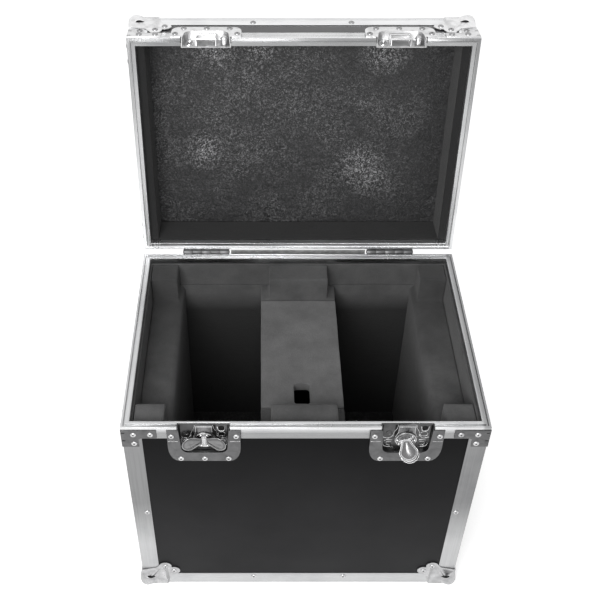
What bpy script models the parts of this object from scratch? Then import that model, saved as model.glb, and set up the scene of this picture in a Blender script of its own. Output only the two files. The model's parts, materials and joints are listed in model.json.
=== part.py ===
"""Road case with its lid open: plywood boards held by aluminium extrusions, lined with foam.

Metres, +Z up, +X to the right, +Y to the hinge side. The case is built around the centre of its base, then
stood so that the middle of its bounding box is over the origin.
"""
import math

import bmesh
import bpy
from mathutils import Matrix, Vector

for old in list(bpy.data.objects):
    bpy.data.objects.remove(old, do_unlink=True)

# driving sizes
WIDTH = 0.550            # over the rim lips
DEPTH = 0.393
BASE_HEIGHT = 0.437      # bottom edge to the rim plane
LID_HEIGHT = 0.0905
OPEN_ANGLE = math.radians(96.5)
RIM_GAP = 0.0006         # between the two rims when the lid is shut
FIT = 0.0003             # gap between pieces that touch
OVERRUN = 0.004          # cutters pass the faces by this much

# boards and extrusions
BOARD = 0.009
LIP = 0.0008             # the rim's lip stands proud of the legs
LIP_HEIGHT = 0.0057
SKIN = 0.0012
LEG = 0.030
RIM_LEG = 0.0265
INNER_LEG = 0.012
INNER_SKIN = 0.001
WEB = 0.0042             # solid top of the rim, which holds the groove
GROOVE = 0.003
GROOVE_DEEP = 0.0028
GROOVE_IN = 0.0051       # centre of the groove, from the outer face
TONGUE = 0.002
TONGUE_HIGH = 0.0022

# ball corners
BALL_RADIUS = 0.0132
BALL_IN = 0.0068         # ball's centre, from each outer face
BALL_FLAT = 0.0004       # the flat that the ball stands on
PLATE = 0.0012           # flanges, braces, dishes and leaves
LOBE_NEAR = 0.0418       # rivet in a flange's lobe, the two distances from the corner's edges
LOBE_FAR = 0.0559
LOBE_RADIUS = 0.0109
FLANGE_END = 0.0433

# braces at the rim's corners
BRACE_REACH = 0.053
BRACE_DOWN = 0.0445
BRACE_ARM = 0.0250
LID_BRACE_DOWN = 0.0385
LID_BRACE_ARM = 0.0222
LID_BRACE_RIVET_LOW = 0.0305
BRACE_TOP = 0.006
BRACE_LEG = 0.025
BRACE_FILLET = 0.003
BRACE_RIVET = (0.0182, 0.0155)
BRACE_RIVET_FAR = 0.0434
BRACE_RIVET_LOW = 0.0361

# rivets
RIVET = 0.0046
RIVET_HIGH = 0.0018
RIVET_TOP_SHARE = 0.62
RIVET_IN = 0.0213
POST_RIVET = 0.023
EDGE_RIVET_SHARE = 0.1436  # of the width, from the middle

# latches
LATCH_IN = 0.123         # centre, from the case's side
PLATE_HALF = 0.055
PLATE_STRAIGHT = 0.0478
PLATE_DOWN = 0.0793
PLATE_FOOT = 0.039       # half of the straight bottom
PAN_TOP_HALF = 0.038
PAN_TAPER = 0.003        # the pan is this much narrower at its foot, each side
PAN_WALL = 0.001
PAN_DOWN = 0.0593
PAN_DEEP = 0.008
PAN_ROUND = 0.012
HUB_DOWN = 0.0356
HUB_RADIUS = 0.017
HUB_THICK = 0.0015
CLAW_HALF = 0.0125
CLAW_FOOT_HALF = 0.0175
CLAW_LIP = 0.0015
CLAW_TRAVEL = 0.011
WING_REACH = 0.0325
WING_HALF = 0.0145
WING_THICK = 0.0014

PLATE_STEPS = 5
PLATE_RIVET = 0.0485
PLATE_RIVET_DOWN = 0.0195
PLATE_ROW = 0.0730
ROW_STEP = 0.0364
AXLE = 0.003
SLOT_CLEAR = 0.0005
SLOT_EDGE = 0.003
CLAW_TOP = -0.0004
CLAW_NECK = -0.0225
CLAW_WAIST = -0.033
CLAW_NOSE = 0.002        # the lip ends this deep behind the front face
CLAW_CLEAR = 0.001
WING_FOLD = 0.0026       # each wing's fold from the hub's middle
WING_ROOT = 0.004
LUG_NEAR = 0.0075
LUG_FAR = 0.0098
LUG_HALF = 0.0036
LUG_OVER = 0.0012
RIGHT_TURN = math.radians(-70)
RIGHT_FOLDS = (math.radians(128), math.radians(48))
LEFT_FOLD = math.radians(19)

# keepers in the lid
KEEPER_TALL = 0.047
KEEPER_SHOULDER = 0.042
KEEPER_PAN = 0.0295
KEEPER_DEEP = 0.0143
KEEPER_STRAIGHT = 0.030
KEEPER_RIVET_UP = 0.0175
KEEPER_ROW = 0.040
BRIDGE_HALF = 0.016
BRIDGE_IN = 0.003
BRIDGE_THICK = 0.0015
BRIDGE_FOOT = 0.005
BRIDGE_BAR = 0.003
BRIDGE_TALL = 0.020
KNOB_X = 0.0278
KNOB_RADIUS = 0.0045

# hinges
HINGE_IN = 0.111         # centre, from the case's side
HINGE_LONG = 0.082
PIN_OUT = 0.0053         # pin behind the rear face
BARREL_RADIUS = 0.0048
PIN_RADIUS = 0.0024
KNUCKLES = 5
LEAF_LONG = 0.034
PIN_PROUD = 0.0008
STRIP_END = 0.003
STRIP_FOOT = 0.026
STRIP_FOLD = 0.0125
STRIP_OUT = 0.0050
STRIP_TOP = 0.0043

# foam
WALL_FOAM = 0.003
FOAM_FLOOR = 0.008
BLOCK_ROUND = 0.003
BLOCK_TOP = 0.010        # below the rim plane
SLAB_TOP = 0.060
PAD_WIDE = 0.071         # from the case's side
PAD_ROUND = 0.012
BLOCK_WIDE = 0.063
BLOCK_DEEP = 0.057       # from the case's front or rear
DIVIDER_HALF = 0.067
DIVIDER_WALL = 0.020
COVER_THICK = 0.020
SLIT_IN = 0.0885         # from the case's front
BLOCK_HALF = 0.052
HOLE_HALF = 0.012
HOLE_IN = 0.0985
HOLE_LONG = 0.041
LID_FOAM = 0.009
LID_LINING = 0.0021
LID_SIDE_LINING = 0.013
FOAM_FIT = 0.0006

# side handles
HANDLE_HALF = 0.075
HANDLE_TALL = 0.056
HANDLE_Z = 0.250
HANDLE_PAN_HALF = 0.062
HANDLE_PAN_TALL = 0.040
HANDLE_DEEP = 0.0125
BAIL_HALF = 0.050
BAIL_DROP = 0.046
BAIL_BEND = 0.010
BAIL_RADIUS = 0.004
BAIL_PIVOT = 0.027
BAIL_IN = 0.0062
STUB_RADIUS = 0.0025
LUG_THICK = 0.003
LUG_TALL = 0.006
GRIP_RADIUS = 0.0054

# places worked out from the sizes
BALL_STAND = BALL_RADIUS - BALL_IN - BALL_FLAT
HALF_W = WIDTH / 2
HALF_D = DEPTH / 2
FLOOR = BALL_STAND
RIM = BALL_STAND + BASE_HEIGHT
PANEL_IN = LIP + SKIN + FIT
INSIDE_IN = PANEL_IN + BOARD + FIT + INNER_SKIN
LATCH_X = HALF_W - LATCH_IN
HINGE_X = HALF_W - HINGE_IN
PAN_FOOT_HALF = PAN_TOP_HALF - PAN_TAPER
RIGHT_LIFT = -CLAW_TRAVEL * RIGHT_TURN / math.pi
PAD_INNER = HALF_W - PAD_WIDE
BLOCK_X = HALF_W - BLOCK_WIDE
BLOCK_Y = HALF_D - BLOCK_DEEP
COVER_SLIT = HALF_D - SLIT_IN
HOLE_FRONT = HALF_D - HOLE_IN
HOLE_BACK = HOLE_FRONT - HOLE_LONG
EDGE_RIVET_X = WIDTH * EDGE_RIVET_SHARE
SIDES = (-1, 1)
SMOOTH_ANGLE = math.radians(35)

case = bpy.data.collections.new("road_case")
cutters = bpy.data.collections.new("cutters")
bpy.context.scene.collection.children.link(case)
bpy.context.scene.collection.children.link(cutters)


def material(name, colour, roughness, metallic):
    paint = bpy.data.materials.new(name)
    paint.use_nodes = True
    shader = paint.node_tree.nodes["Principled BSDF"]
    shader.inputs["Base Color"].default_value = (*colour, 1)
    shader.inputs["Roughness"].default_value = roughness
    shader.inputs["Metallic"].default_value = metallic
    return paint


BOARD_BLACK = ("board", (0.022, 0.022, 0.024), 0.5, 0.0)
ALUMINIUM = ("aluminium", (0.78, 0.79, 0.80), 0.32, 1.0)
ZINC = ("zinc", (0.50, 0.50, 0.51), 0.35, 1.0)
STEEL = ("steel", (0.62, 0.62, 0.63), 0.28, 1.0)
DARK_STEEL = ("dark_steel", (0.10, 0.10, 0.11), 0.45, 0.6)
FOAM = ("foam", (0.035, 0.035, 0.037), 0.95, 0.0)


def empty(name, place, parent=None, turn=(0, 0, 0)):
    joint = bpy.data.objects.new(name, None)
    case.objects.link(joint)
    joint.location = place
    joint.rotation_euler = turn
    joint.parent = parent
    return joint


stand = empty("case_frame", (0, 0, 0))
lid_hinge = empty("lid_hinge", (0, HALF_D + PIN_OUT, RIM + RIM_GAP / 2), stand, (-OPEN_ANGLE, 0, 0))


def copy_of(solid, matrix):
    other = solid.copy()
    other.transform(matrix)
    if matrix.determinant() < 0:
        bmesh.ops.reverse_faces(other, faces=other.faces[:])
    return other


def box(low, high):
    solid = bmesh.new()
    bmesh.ops.create_cube(solid, size=1)
    low, high = Vector(low), Vector(high)
    size = high - low
    solid.transform(Matrix.Translation((low + high) / 2) @ Matrix.Diagonal((*size, 1)))
    return solid


def rounded_box(low, high, radius, segments, keep):
    """A box whose edges that pass the keep test are rounded."""
    solid = box(low, high)
    edges = [edge for edge in solid.edges if keep(edge.verts[0].co, edge.verts[1].co)]
    bmesh.ops.bevel(solid, geom=edges, offset=radius, segments=segments, affect="EDGES", profile=0.5)
    return solid


def rod(start, end, radius, sides=12, end_radius=None):
    start, end = Vector(start), Vector(end)
    along = end - start
    solid = bmesh.new()
    bmesh.ops.create_cone(solid, cap_ends=True, segments=sides, radius1=radius,
                          radius2=radius if end_radius is None else end_radius, depth=along.length)
    turn = along.to_track_quat("Z", "Y").to_matrix().to_4x4()
    solid.transform(Matrix.Translation((start + end) / 2) @ turn)
    return solid


def axes(across, up, origin=(0, 0, 0)):
    """Matrix that lays a flat outline's first axis along across and its second along up."""
    across, up = Vector(across), Vector(up)
    out = across.cross(up)
    matrix = Matrix((across, up, out)).transposed().to_4x4()
    matrix.translation = Vector(origin)
    return matrix


def prism(outlines, low, high, matrix):
    """Flat outlines, the first outside and the rest holes, extruded from low to high along their normal."""
    flat = bpy.data.curves.new("outline", "CURVE")
    flat.dimensions = "2D"
    flat.fill_mode = "BOTH"
    flat.extrude = (high - low) / 2
    for outline in outlines:
        line = flat.splines.new("POLY")
        line.points.add(len(outline) - 1)
        for point, (across, up) in zip(line.points, outline):
            point.co = (across, up, 0, 1)
        line.use_cyclic_u = True
    shape = bpy.data.objects.new("outline", flat)
    cutters.objects.link(shape)
    bpy.context.view_layer.update()
    mesh = bpy.data.meshes.new_from_object(shape.evaluated_get(bpy.context.evaluated_depsgraph_get()))
    solid = bmesh.new()
    solid.from_mesh(mesh)
    bmesh.ops.remove_doubles(solid, verts=solid.verts[:], dist=FIT / 100)
    solid.transform(Matrix.Translation((0, 0, (low + high) / 2)))
    solid.transform(matrix)
    bmesh.ops.recalc_face_normals(solid, faces=solid.faces[:])
    bpy.data.objects.remove(shape)
    bpy.data.curves.remove(flat)
    bpy.data.meshes.remove(mesh)
    return solid


def cut(solid, cutter, operation="DIFFERENCE"):
    """Boolean of two closed bmeshes; the cutter is used up."""
    pair = []
    for part in (solid, cutter):
        mesh = bpy.data.meshes.new("pair")
        part.to_mesh(mesh)
        part.free()
        pair.append(bpy.data.objects.new("pair", mesh))
        cutters.objects.link(pair[-1])
    pair[1].hide_render = True
    pair[1].display_type = "WIRE"
    step = pair[0].modifiers.new("cut", "BOOLEAN")
    step.operation = operation
    step.solver = "EXACT"
    step.object = pair[1]
    bpy.context.view_layer.update()
    mesh = bpy.data.meshes.new_from_object(pair[0].evaluated_get(bpy.context.evaluated_depsgraph_get()))
    result = bmesh.new()
    result.from_mesh(mesh)
    bmesh.ops.remove_doubles(result, verts=result.verts[:], dist=FIT / 100)
    bpy.data.meshes.remove(mesh)
    for part in pair:
        used = part.data
        bpy.data.objects.remove(part)
        bpy.data.meshes.remove(used)
    return result


def arc(centre, radius, start, end, steps):
    """Points of an arc, angles in degrees."""
    points = []
    for step in range(steps + 1):
        angle = math.radians(start + (end - start) * step / steps)
        points.append((centre[0] + radius * math.cos(angle), centre[1] + radius * math.sin(angle)))
    return points


def node(name, solid, finish, parent=stand, round_shape=False):
    """Make one named object of the solid, carried by its parent, whose origin is on its joint."""
    mesh = bpy.data.meshes.new(name)
    solid.to_mesh(mesh)
    solid.free()
    if round_shape:
        mesh.shade_smooth()
        mesh.set_sharp_from_angle(angle=SMOOTH_ANGLE)
    part = bpy.data.objects.new(name, mesh)
    case.objects.link(part)
    part.parent = parent
    mesh.materials.append(material(name, *finish[1:]))
    return part


def lid_node(name, solid, finish, round_shape=False):
    """A lid piece, drawn where it lies with the lid shut and then carried by the hinge."""
    solid.transform(Matrix.Translation((0, -HALF_D - PIN_OUT, -RIM - RIM_GAP / 2)))
    return node(name, solid, finish, lid_hinge, round_shape=round_shape)


def riveted(solid, places, matrix=Matrix()):
    """The solid with a rivet's head at each place on a face that looks along the matrix's Z."""
    out = matrix.to_3x3() @ Vector((0, 0, 1))
    for place in places:
        foot = matrix @ Vector(place)
        head = rod(foot - out * FIT, foot + out * RIVET_HIGH, RIVET, 10, RIVET * RIVET_TOP_SHARE)
        solid = cut(solid, head, "UNION")
    return solid


SEAT = LIP - FIT                 # back of a plate that lies on a leg, inward from the outer face
FACE = SEAT - PLATE              # its front, which is negative: it stands proud of the rim
LID_RIM = RIM + RIM_GAP
LID_TOP = LID_RIM + LID_HEIGHT


# Boards

def board(half_x, half_y, low, high):
    return box((-half_x, -half_y, low), (half_x, half_y, high))


PANEL_X = HALF_W - PANEL_IN
PANEL_Y = HALF_D - PANEL_IN
BOARD_TOP = RIM - WEB - FIT
BOARD_FOOT = FLOOR + LIP + SKIN + FIT


def latch_frame(side, height):
    """Across, up and outward on the front face at a latch, from the given rim plane."""
    return axes((1, 0, 0), (0, 0, 1), (side * LATCH_X, -HALF_D, height))


def hole_box(half, low, high, matrix, deep=PANEL_IN + BOARD + OVERRUN):
    solid = box((-half, low, -deep), (half, high, OVERRUN))
    solid.transform(matrix)
    return solid


def side_frame(side):
    """Across, up and outward on a side face at the handle."""
    return axes((0, side, 0), (0, 0, 1), (side * HALF_W, 0, FLOOR + HANDLE_Z))


base_front = box((-PANEL_X + BOARD + FIT, -PANEL_Y, BOARD_FOOT),
                 (PANEL_X - BOARD - FIT, -PANEL_Y + BOARD, BOARD_TOP))
for side in SIDES:
    clear = hole_box(PAN_TOP_HALF + PAN_WALL + FIT, -PAN_DOWN - PAN_WALL - FIT, OVERRUN,
                     latch_frame(side, RIM))
    base_front = cut(base_front, clear)
node("front_panel", base_front, BOARD_BLACK)
node("rear_panel", box((-PANEL_X + BOARD + FIT, PANEL_Y - BOARD, BOARD_FOOT),
                       (PANEL_X - BOARD - FIT, PANEL_Y, BOARD_TOP)), BOARD_BLACK)
for side, name in ((-1, "left_panel"), (1, "right_panel")):
    low, high = sorted((side * PANEL_X, side * (PANEL_X - BOARD)))
    wall = box((low, -PANEL_Y, BOARD_FOOT), (high, PANEL_Y, BOARD_TOP))
    clear = hole_box(HANDLE_PAN_HALF + PAN_WALL + FIT, -HANDLE_PAN_TALL - PAN_WALL - FIT,
                     HANDLE_PAN_TALL + PAN_WALL + FIT, side_frame(side))
    node(name, cut(wall, clear), BOARD_BLACK)
INNER_X = PANEL_X - BOARD - FIT
INNER_Y = PANEL_Y - BOARD - FIT
node("floor_panel", board(INNER_X, INNER_Y, BOARD_FOOT, BOARD_FOOT + BOARD), BOARD_BLACK)

LID_BOARD_FOOT = LID_RIM + WEB + FIT
LID_BOARD_TOP = LID_TOP - LIP - SKIN - FIT
lid_front = box((-INNER_X, -PANEL_Y, LID_BOARD_FOOT), (INNER_X, -PANEL_Y + BOARD, LID_BOARD_TOP))
for side in SIDES:
    clear = hole_box(PAN_TOP_HALF + PAN_WALL + FIT, -OVERRUN, KEEPER_PAN + PAN_WALL + FIT,
                     latch_frame(side, LID_RIM))
    lid_front = cut(lid_front, clear)
lid_node("lid_front_panel", lid_front, BOARD_BLACK)
lid_node("lid_rear_panel", box((-INNER_X, PANEL_Y - BOARD, LID_BOARD_FOOT),
                               (INNER_X, PANEL_Y, LID_BOARD_TOP)), BOARD_BLACK)
for side, name in ((-1, "lid_left_panel"), (1, "lid_right_panel")):
    low, high = sorted((side * PANEL_X, side * (PANEL_X - BOARD)))
    lid_node(name, box((low, -PANEL_Y, LID_BOARD_FOOT), (high, PANEL_Y, LID_BOARD_TOP)), BOARD_BLACK)
lid_node("lid_top_panel", board(INNER_X, INNER_Y, LID_BOARD_TOP - BOARD, LID_BOARD_TOP), BOARD_BLACK)


# Edge frames: angles on every edge, welded at the corners, with the boards behind their windows

CORNERS = [(side_x, side_y) for side_x in SIDES for side_y in SIDES]


def corner_name(side_x, side_y):
    return ("front" if side_y < 0 else "rear") + ("_left" if side_x < 0 else "_right")


def edge_frame(closed, open_end):
    """A thin skin over all faces but the open end, cut away to a leg's width along each edge."""
    half_x, half_y = HALF_W - LIP, HALF_D - LIP
    inward = math.copysign(1, open_end - closed)
    wall = closed + inward * LIP
    leg = closed + inward * LEG

    def span(size_x, size_y, near, far):
        near, far = sorted((near, far))
        return box((-size_x, -size_y, near), (size_x, size_y, far))

    frame = span(half_x, half_y, wall, open_end - inward * (RIM_LEG + FIT))
    frame = cut(frame, span(half_x - SKIN, half_y - SKIN, wall + inward * SKIN, open_end))
    window_x, window_y = HALF_W - LEG, HALF_D - LEG
    frame = cut(frame, span(window_x, half_y + OVERRUN, leg, open_end))
    frame = cut(frame, span(half_x + OVERRUN, window_y, leg, open_end))
    return cut(frame, span(window_x, window_y, closed - inward * OVERRUN, leg))


def face_frame(side_x, side_y, height):
    """Across, up and outward at the middle of a face; one of the two sides is zero."""
    return axes((-side_y, side_x, 0), (0, 0, 1), (side_x * (HALF_W - LIP), side_y * (HALF_D - LIP), height))


FACES = ((0, -1), (0, 1), (-1, 0), (1, 0))
frame = edge_frame(FLOOR, RIM)
for side_x, side_y in FACES:
    reach = HALF_D if side_x else HALF_W
    places = [(side * (reach - POST_RIVET), BASE_HEIGHT / 2, 0) for side in SIDES]
    places += [(side * EDGE_RIVET_X, RIVET_IN, 0) for side in SIDES]
    frame = riveted(frame, places, face_frame(side_x, side_y, FLOOR))
node("base_edge_frame", frame, ALUMINIUM)
frame = edge_frame(LID_TOP, LID_RIM)
for side_x, side_y in FACES:
    places = [(side * EDGE_RIVET_X, -RIVET_IN, 0) for side in SIDES]
    frame = riveted(frame, places, face_frame(side_x, side_y, LID_TOP))
lid_node("lid_edge_frame", frame, ALUMINIUM)


# Rims: the base's holds a groove and the lid's a tongue

BACK = LIP + SKIN + FIT + BOARD + FIT


def rim_profile(grooved):
    low, high = GROOVE_IN - GROOVE / 2, GROOVE_IN + GROOVE / 2
    seam = [(high, 0), (high, -GROOVE_DEEP), (low, -GROOVE_DEEP), (low, 0)]
    if not grooved:
        low, high = GROOVE_IN - TONGUE / 2, GROOVE_IN + TONGUE / 2
        seam = [(high, 0), (high, TONGUE_HIGH), (low, TONGUE_HIGH), (low, 0)]
    return [(0, 0), (0, -LIP_HEIGHT), (LIP, -LIP_HEIGHT), (LIP, -RIM_LEG), (LIP + SKIN, -RIM_LEG),
            (LIP + SKIN, -WEB), (BACK, -WEB), (BACK, -INNER_LEG), (BACK + INNER_SKIN, -INNER_LEG),
            (BACK + INNER_SKIN, 0)] + seam


def rim_ring(lid):
    """The profile carried round the four mitred corners: a four-step turn, drawn out to the case's sides."""
    ring = bmesh.new()
    sign = -1 if lid else 1
    side = min(HALF_W, HALF_D)
    verts = [ring.verts.new((side - across, side - across, sign * up)) for across, up in rim_profile(not lid)]
    edges = [ring.edges.new((verts[index - 1], verts[index])) for index in range(len(verts))]
    bmesh.ops.spin(ring, geom=verts + edges, cent=(0, 0, 0), axis=(0, 0, 1), angle=math.tau, steps=4,
                   use_merge=True)
    bmesh.ops.remove_doubles(ring, verts=ring.verts[:], dist=FIT / 10)
    for vert in ring.verts:
        vert.co.x += math.copysign(HALF_W - side, vert.co.x)
        vert.co.y += math.copysign(HALF_D - side, vert.co.y)
        vert.co.z += LID_RIM if lid else RIM
    bmesh.ops.recalc_face_normals(ring, faces=ring.faces[:])
    return ring


ring = rim_ring(False)
for side in SIDES:
    gap = hole_box(PAN_TOP_HALF + PAN_WALL + FIT, -RIM_LEG - OVERRUN, OVERRUN, latch_frame(side, RIM),
                   PAN_DEEP + PAN_WALL + FIT)
    ring = cut(ring, gap)
node("base_rim", ring, ALUMINIUM)


def front_span(half):
    """A cutter over the lid rim's front, this far to both sides."""
    return box((-half, -HALF_D - OVERRUN, LID_RIM - OVERRUN),
               (half, -HALF_D + KEEPER_DEEP + OVERRUN, LID_RIM + LEG))


notch = PAN_TOP_HALF + PAN_WALL + FIT
lid_node("lid_rim", cut(rim_ring(True), front_span(LATCH_X + notch)), ALUMINIUM)
lid_node("lid_rim_middle", cut(rim_ring(True), front_span(LATCH_X - notch), "INTERSECT"), ALUMINIUM)


# Corner pieces, drawn in one corner with their sides running inward along +X, +Y and +Z

def corner_matrix(side_x, side_y, height, upward):
    return (Matrix.Translation((side_x * HALF_W, side_y * HALF_D, height))
            @ Matrix.Diagonal((-side_x, -side_y, 1 if upward else -1, 1)))


TURNS = (axes((0, 1, 0), (0, 0, 1)), axes((0, 0, 1), (1, 0, 0)), axes((1, 0, 0), (0, 1, 0)))
DIAGONAL = LOBE_FAR - LOBE_NEAR
FLANGE_WAIST = (0.0512, 0.026)


def flange_outline():
    half_gap = math.hypot(DIAGONAL, DIAGONAL) / 2
    meet = 135 - math.degrees(math.acos(min(half_gap / LOBE_RADIUS, 1)))
    lobe = arc((LOBE_FAR, LOBE_NEAR), LOBE_RADIUS, -75, meet, 6)
    side = [(FACE, FACE), (FLANGE_END, FACE), (FLANGE_WAIST[0], FLANGE_WAIST[1])] + lobe
    return side + [(up, across) for across, up in reversed(side[1:-1])]


def ball_corner():
    corner = None
    for turn in TURNS:
        plate = prism([flange_outline()], FACE, SEAT, turn)
        corner = plate if corner is None else cut(corner, plate, "UNION")
    ball = bmesh.new()
    bmesh.ops.create_uvsphere(ball, u_segments=20, v_segments=12, radius=BALL_RADIUS)
    ball.transform(Matrix.Translation((BALL_IN, BALL_IN, BALL_IN)))
    corner = cut(corner, ball, "UNION")
    far = LOBE_FAR + LOBE_RADIUS + OVERRUN
    corner = cut(corner, box((SEAT, SEAT, SEAT), (far, far, far)))
    return cut(corner, box((-far, -far, -far), (far, far, -BALL_STAND)))


def brace(arm, down):
    outline = [(FACE, BRACE_TOP), (BRACE_REACH, BRACE_TOP), (BRACE_REACH, arm),
               (BRACE_LEG + BRACE_FILLET, arm), (BRACE_LEG, arm + BRACE_FILLET), (BRACE_LEG, down),
               (FACE, down)]
    on_side = prism([outline], FACE, SEAT, axes((0, 1, 0), (0, 0, 1)))
    on_front = prism([outline], -SEAT, -FACE, axes((1, 0, 0), (0, 0, 1)))
    return cut(on_side, on_front, "UNION")


def lobe_riveted(corner):
    """Two rivets on each of a ball corner's three flanges."""
    for turn in TURNS:
        outward = turn @ Matrix.Diagonal((1, 1, -1, 1))
        corner = riveted(corner, [(LOBE_FAR, LOBE_NEAR, -FACE), (LOBE_NEAR, LOBE_FAR, -FACE)], outward)
    return corner


def brace_riveted(plates, low):
    near, down = BRACE_RIVET
    places = ((near, down), (BRACE_RIVET_FAR, down), (near, low))
    sideways = Matrix(((0, 0, -1), (1, 0, 0), (0, 1, 0))).to_4x4()
    forward = Matrix(((1, 0, 0), (0, 0, -1), (0, 1, 0))).to_4x4()
    for outward in (sideways, forward):
        plates = riveted(plates, [(across, up, -FACE) for across, up in places], outward)
    return plates


def at_corners(name, master, height, upward, make):
    for corner in CORNERS:
        make(name + "_" + corner_name(*corner), copy_of(master, corner_matrix(*corner, height, upward)), ZINC)
    master.free()


at_corners("base_ball_corner", lobe_riveted(ball_corner()), FLOOR, True, node)
at_corners("base_rim_brace", brace_riveted(brace(BRACE_ARM, BRACE_DOWN), BRACE_RIVET_LOW), RIM, False, node)
at_corners("lid_ball_corner", lobe_riveted(ball_corner()), LID_TOP, False, lid_node)
lid_brace = brace_riveted(brace(LID_BRACE_ARM, LID_BRACE_DOWN), LID_BRACE_RIVET_LOW)
at_corners("lid_rim_brace", lid_brace, LID_RIM, True, lid_node)


def plate_rivets(row, ends):
    """A latch or keeper plate's rivets: two at its ends and three in a row."""
    places = [(-PLATE_RIVET, ends), (PLATE_RIVET, ends), (-ROW_STEP, row), (0, row), (ROW_STEP, row)]
    return [(across, up, -FACE) for across, up in places]


# Latch dishes, each a flat plate with a pan that is open at the rim

def plate_outline(foot, straight, down):
    """Straight sides, then a round corner to the straight foot; up is taken as given, with its sign."""
    sign = math.copysign(1, down)
    wide = PLATE_HALF - foot
    high = abs(down - straight)
    left, right = [], []
    for step in range(PLATE_STEPS + 1):
        turn = math.radians(90 * step / PLATE_STEPS)
        across = foot + wide * math.cos(turn)
        up = straight + sign * high * math.sin(turn)
        right.append((across, up))
        left.append((-across, up))
    top = math.copysign(BRACE_TOP, down)
    return [(-PLATE_HALF, top), (PLATE_HALF, top)] + right + left[::-1]


def pan_outline(wall, top, down):
    sign = math.copysign(1, down)
    foot = PAN_FOOT_HALF + wall
    low = down + sign * wall
    size = PAN_ROUND + wall
    corner = []
    for step in range(PLATE_STEPS + 1):
        turn = math.radians(90 * step / PLATE_STEPS)
        corner.append((foot - size + size * math.cos(turn), low - sign * size + sign * size * math.sin(turn)))
    half = PAN_TOP_HALF + wall
    return [(-half, top), (half, top)] + corner + [(-across, up) for across, up in corner[::-1]]


def dish(outline, down, deep, top, rivets):
    plate = prism([outline], -SEAT, -FACE, Matrix())
    pan = prism([pan_outline(PAN_WALL, top, down)], -deep - PAN_WALL, -FACE - FIT, Matrix())
    solid = cut(plate, pan, "UNION")
    solid = cut(solid, prism([pan_outline(0, -math.copysign(OVERRUN, down), down)], -deep, OVERRUN, Matrix()))
    return riveted(solid, rivets)


def keeper_bridge():
    """A pressed bridge that the claw pulls on, with a window, on two legs; and the knob beside it."""
    top = BRIDGE_FOOT + BRIDGE_TALL
    foot, back, leg = -KEEPER_DEEP - PAN_WALL / 2, -BRIDGE_IN - BRIDGE_THICK, BRIDGE_HALF - BRIDGE_THICK
    outline = [(-BRIDGE_HALF, foot), (-BRIDGE_HALF, -BRIDGE_IN), (BRIDGE_HALF, -BRIDGE_IN),
               (BRIDGE_HALF, foot), (leg, foot), (leg, back), (-leg, back), (-leg, foot)]
    channel = prism([outline], -top, -BRIDGE_FOOT, axes((1, 0, 0), (0, 0, 1)))
    window = CLAW_HALF + CLAW_CLEAR
    channel = cut(channel, box((-window, BRIDGE_FOOT + BRIDGE_BAR, back - OVERRUN),
                               (window, top - BRIDGE_BAR, OVERRUN)))
    middle = BRIDGE_FOOT + BRIDGE_TALL / 2
    knob = rod((KNOB_X, middle, foot), (KNOB_X, middle, -BRIDGE_IN), KNOB_RADIUS)
    return channel, knob


for side, name in ((-1, "left"), (1, "right")):
    base_plate = plate_outline(PLATE_FOOT, -PLATE_STRAIGHT, -PLATE_DOWN)
    latch_dish = dish(base_plate, -PAN_DOWN, PAN_DEEP, -LIP, plate_rivets(-PLATE_ROW, -PLATE_RIVET_DOWN))
    latch_dish.transform(latch_frame(side, RIM))
    node("latch_dish_" + name, latch_dish, ZINC)
    lid_plate = plate_outline(KEEPER_SHOULDER, KEEPER_STRAIGHT, KEEPER_TALL)
    keeper = dish(lid_plate, KEEPER_PAN, KEEPER_DEEP, LIP, plate_rivets(KEEPER_ROW, KEEPER_RIVET_UP))
    for piece in keeper_bridge():
        keeper = cut(keeper, piece, "UNION")
    keeper.transform(latch_frame(side, LID_RIM))
    lid_node("keeper_dish_" + name, keeper, ZINC)


# Latches: a hub that turns, the claw it lifts and two wings folded on it

HOOK_BACK = -PAN_DEEP + FIT
HOOK_FRONT = HOOK_BACK + PLATE
HUB_BACK = HOOK_FRONT + FIT
HUB_FRONT = HUB_BACK + HUB_THICK
WING_AXIS = HUB_FRONT + FIT + WING_THICK / 2


def claw(lift, drop):
    """The claw plate with a slot round the hub's axle, long enough for its travel up and down from rest."""
    low = -HUB_DOWN - lift - AXLE - SLOT_CLEAR
    high = -HUB_DOWN + drop + AXLE + SLOT_CLEAR
    foot = low - SLOT_EDGE
    half = AXLE + SLOT_CLEAR
    outline = [(-CLAW_HALF, CLAW_TOP), (-CLAW_HALF, CLAW_NECK), (-CLAW_FOOT_HALF, CLAW_WAIST),
               (-CLAW_FOOT_HALF, foot + SLOT_EDGE), (-CLAW_HALF, foot), (CLAW_HALF, foot),
               (CLAW_FOOT_HALF, foot + SLOT_EDGE), (CLAW_FOOT_HALF, CLAW_WAIST), (CLAW_HALF, CLAW_NECK),
               (CLAW_HALF, CLAW_TOP)]
    slot = [(-half, low), (half, low), (half, high), (-half, high)]
    plate = prism([outline, slot], HOOK_BACK, HOOK_FRONT, Matrix())
    lip = box((-CLAW_HALF, CLAW_TOP - CLAW_LIP, HOOK_BACK), (CLAW_HALF, CLAW_TOP, -CLAW_NOSE))
    return cut(plate, lip, "UNION")


def hub():
    """The disc, its axle and the two lugs that carry the wings, around the hub's own axis."""
    disc = rod((0, 0, HUB_BACK), (0, 0, HUB_FRONT), HUB_RADIUS, 28)
    axle = rod((0, 0, HOOK_BACK), (0, 0, HUB_BACK + HUB_THICK / 2), AXLE)
    solid = cut(disc, axle, "UNION")
    for side in SIDES:
        low, high = sorted((side * LUG_NEAR, side * LUG_FAR))
        lug = box((-LUG_HALF, low, HUB_BACK + HUB_THICK / 2), (LUG_HALF, high, WING_AXIS + LUG_OVER))
        solid = cut(solid, lug, "UNION")
    return solid


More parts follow.
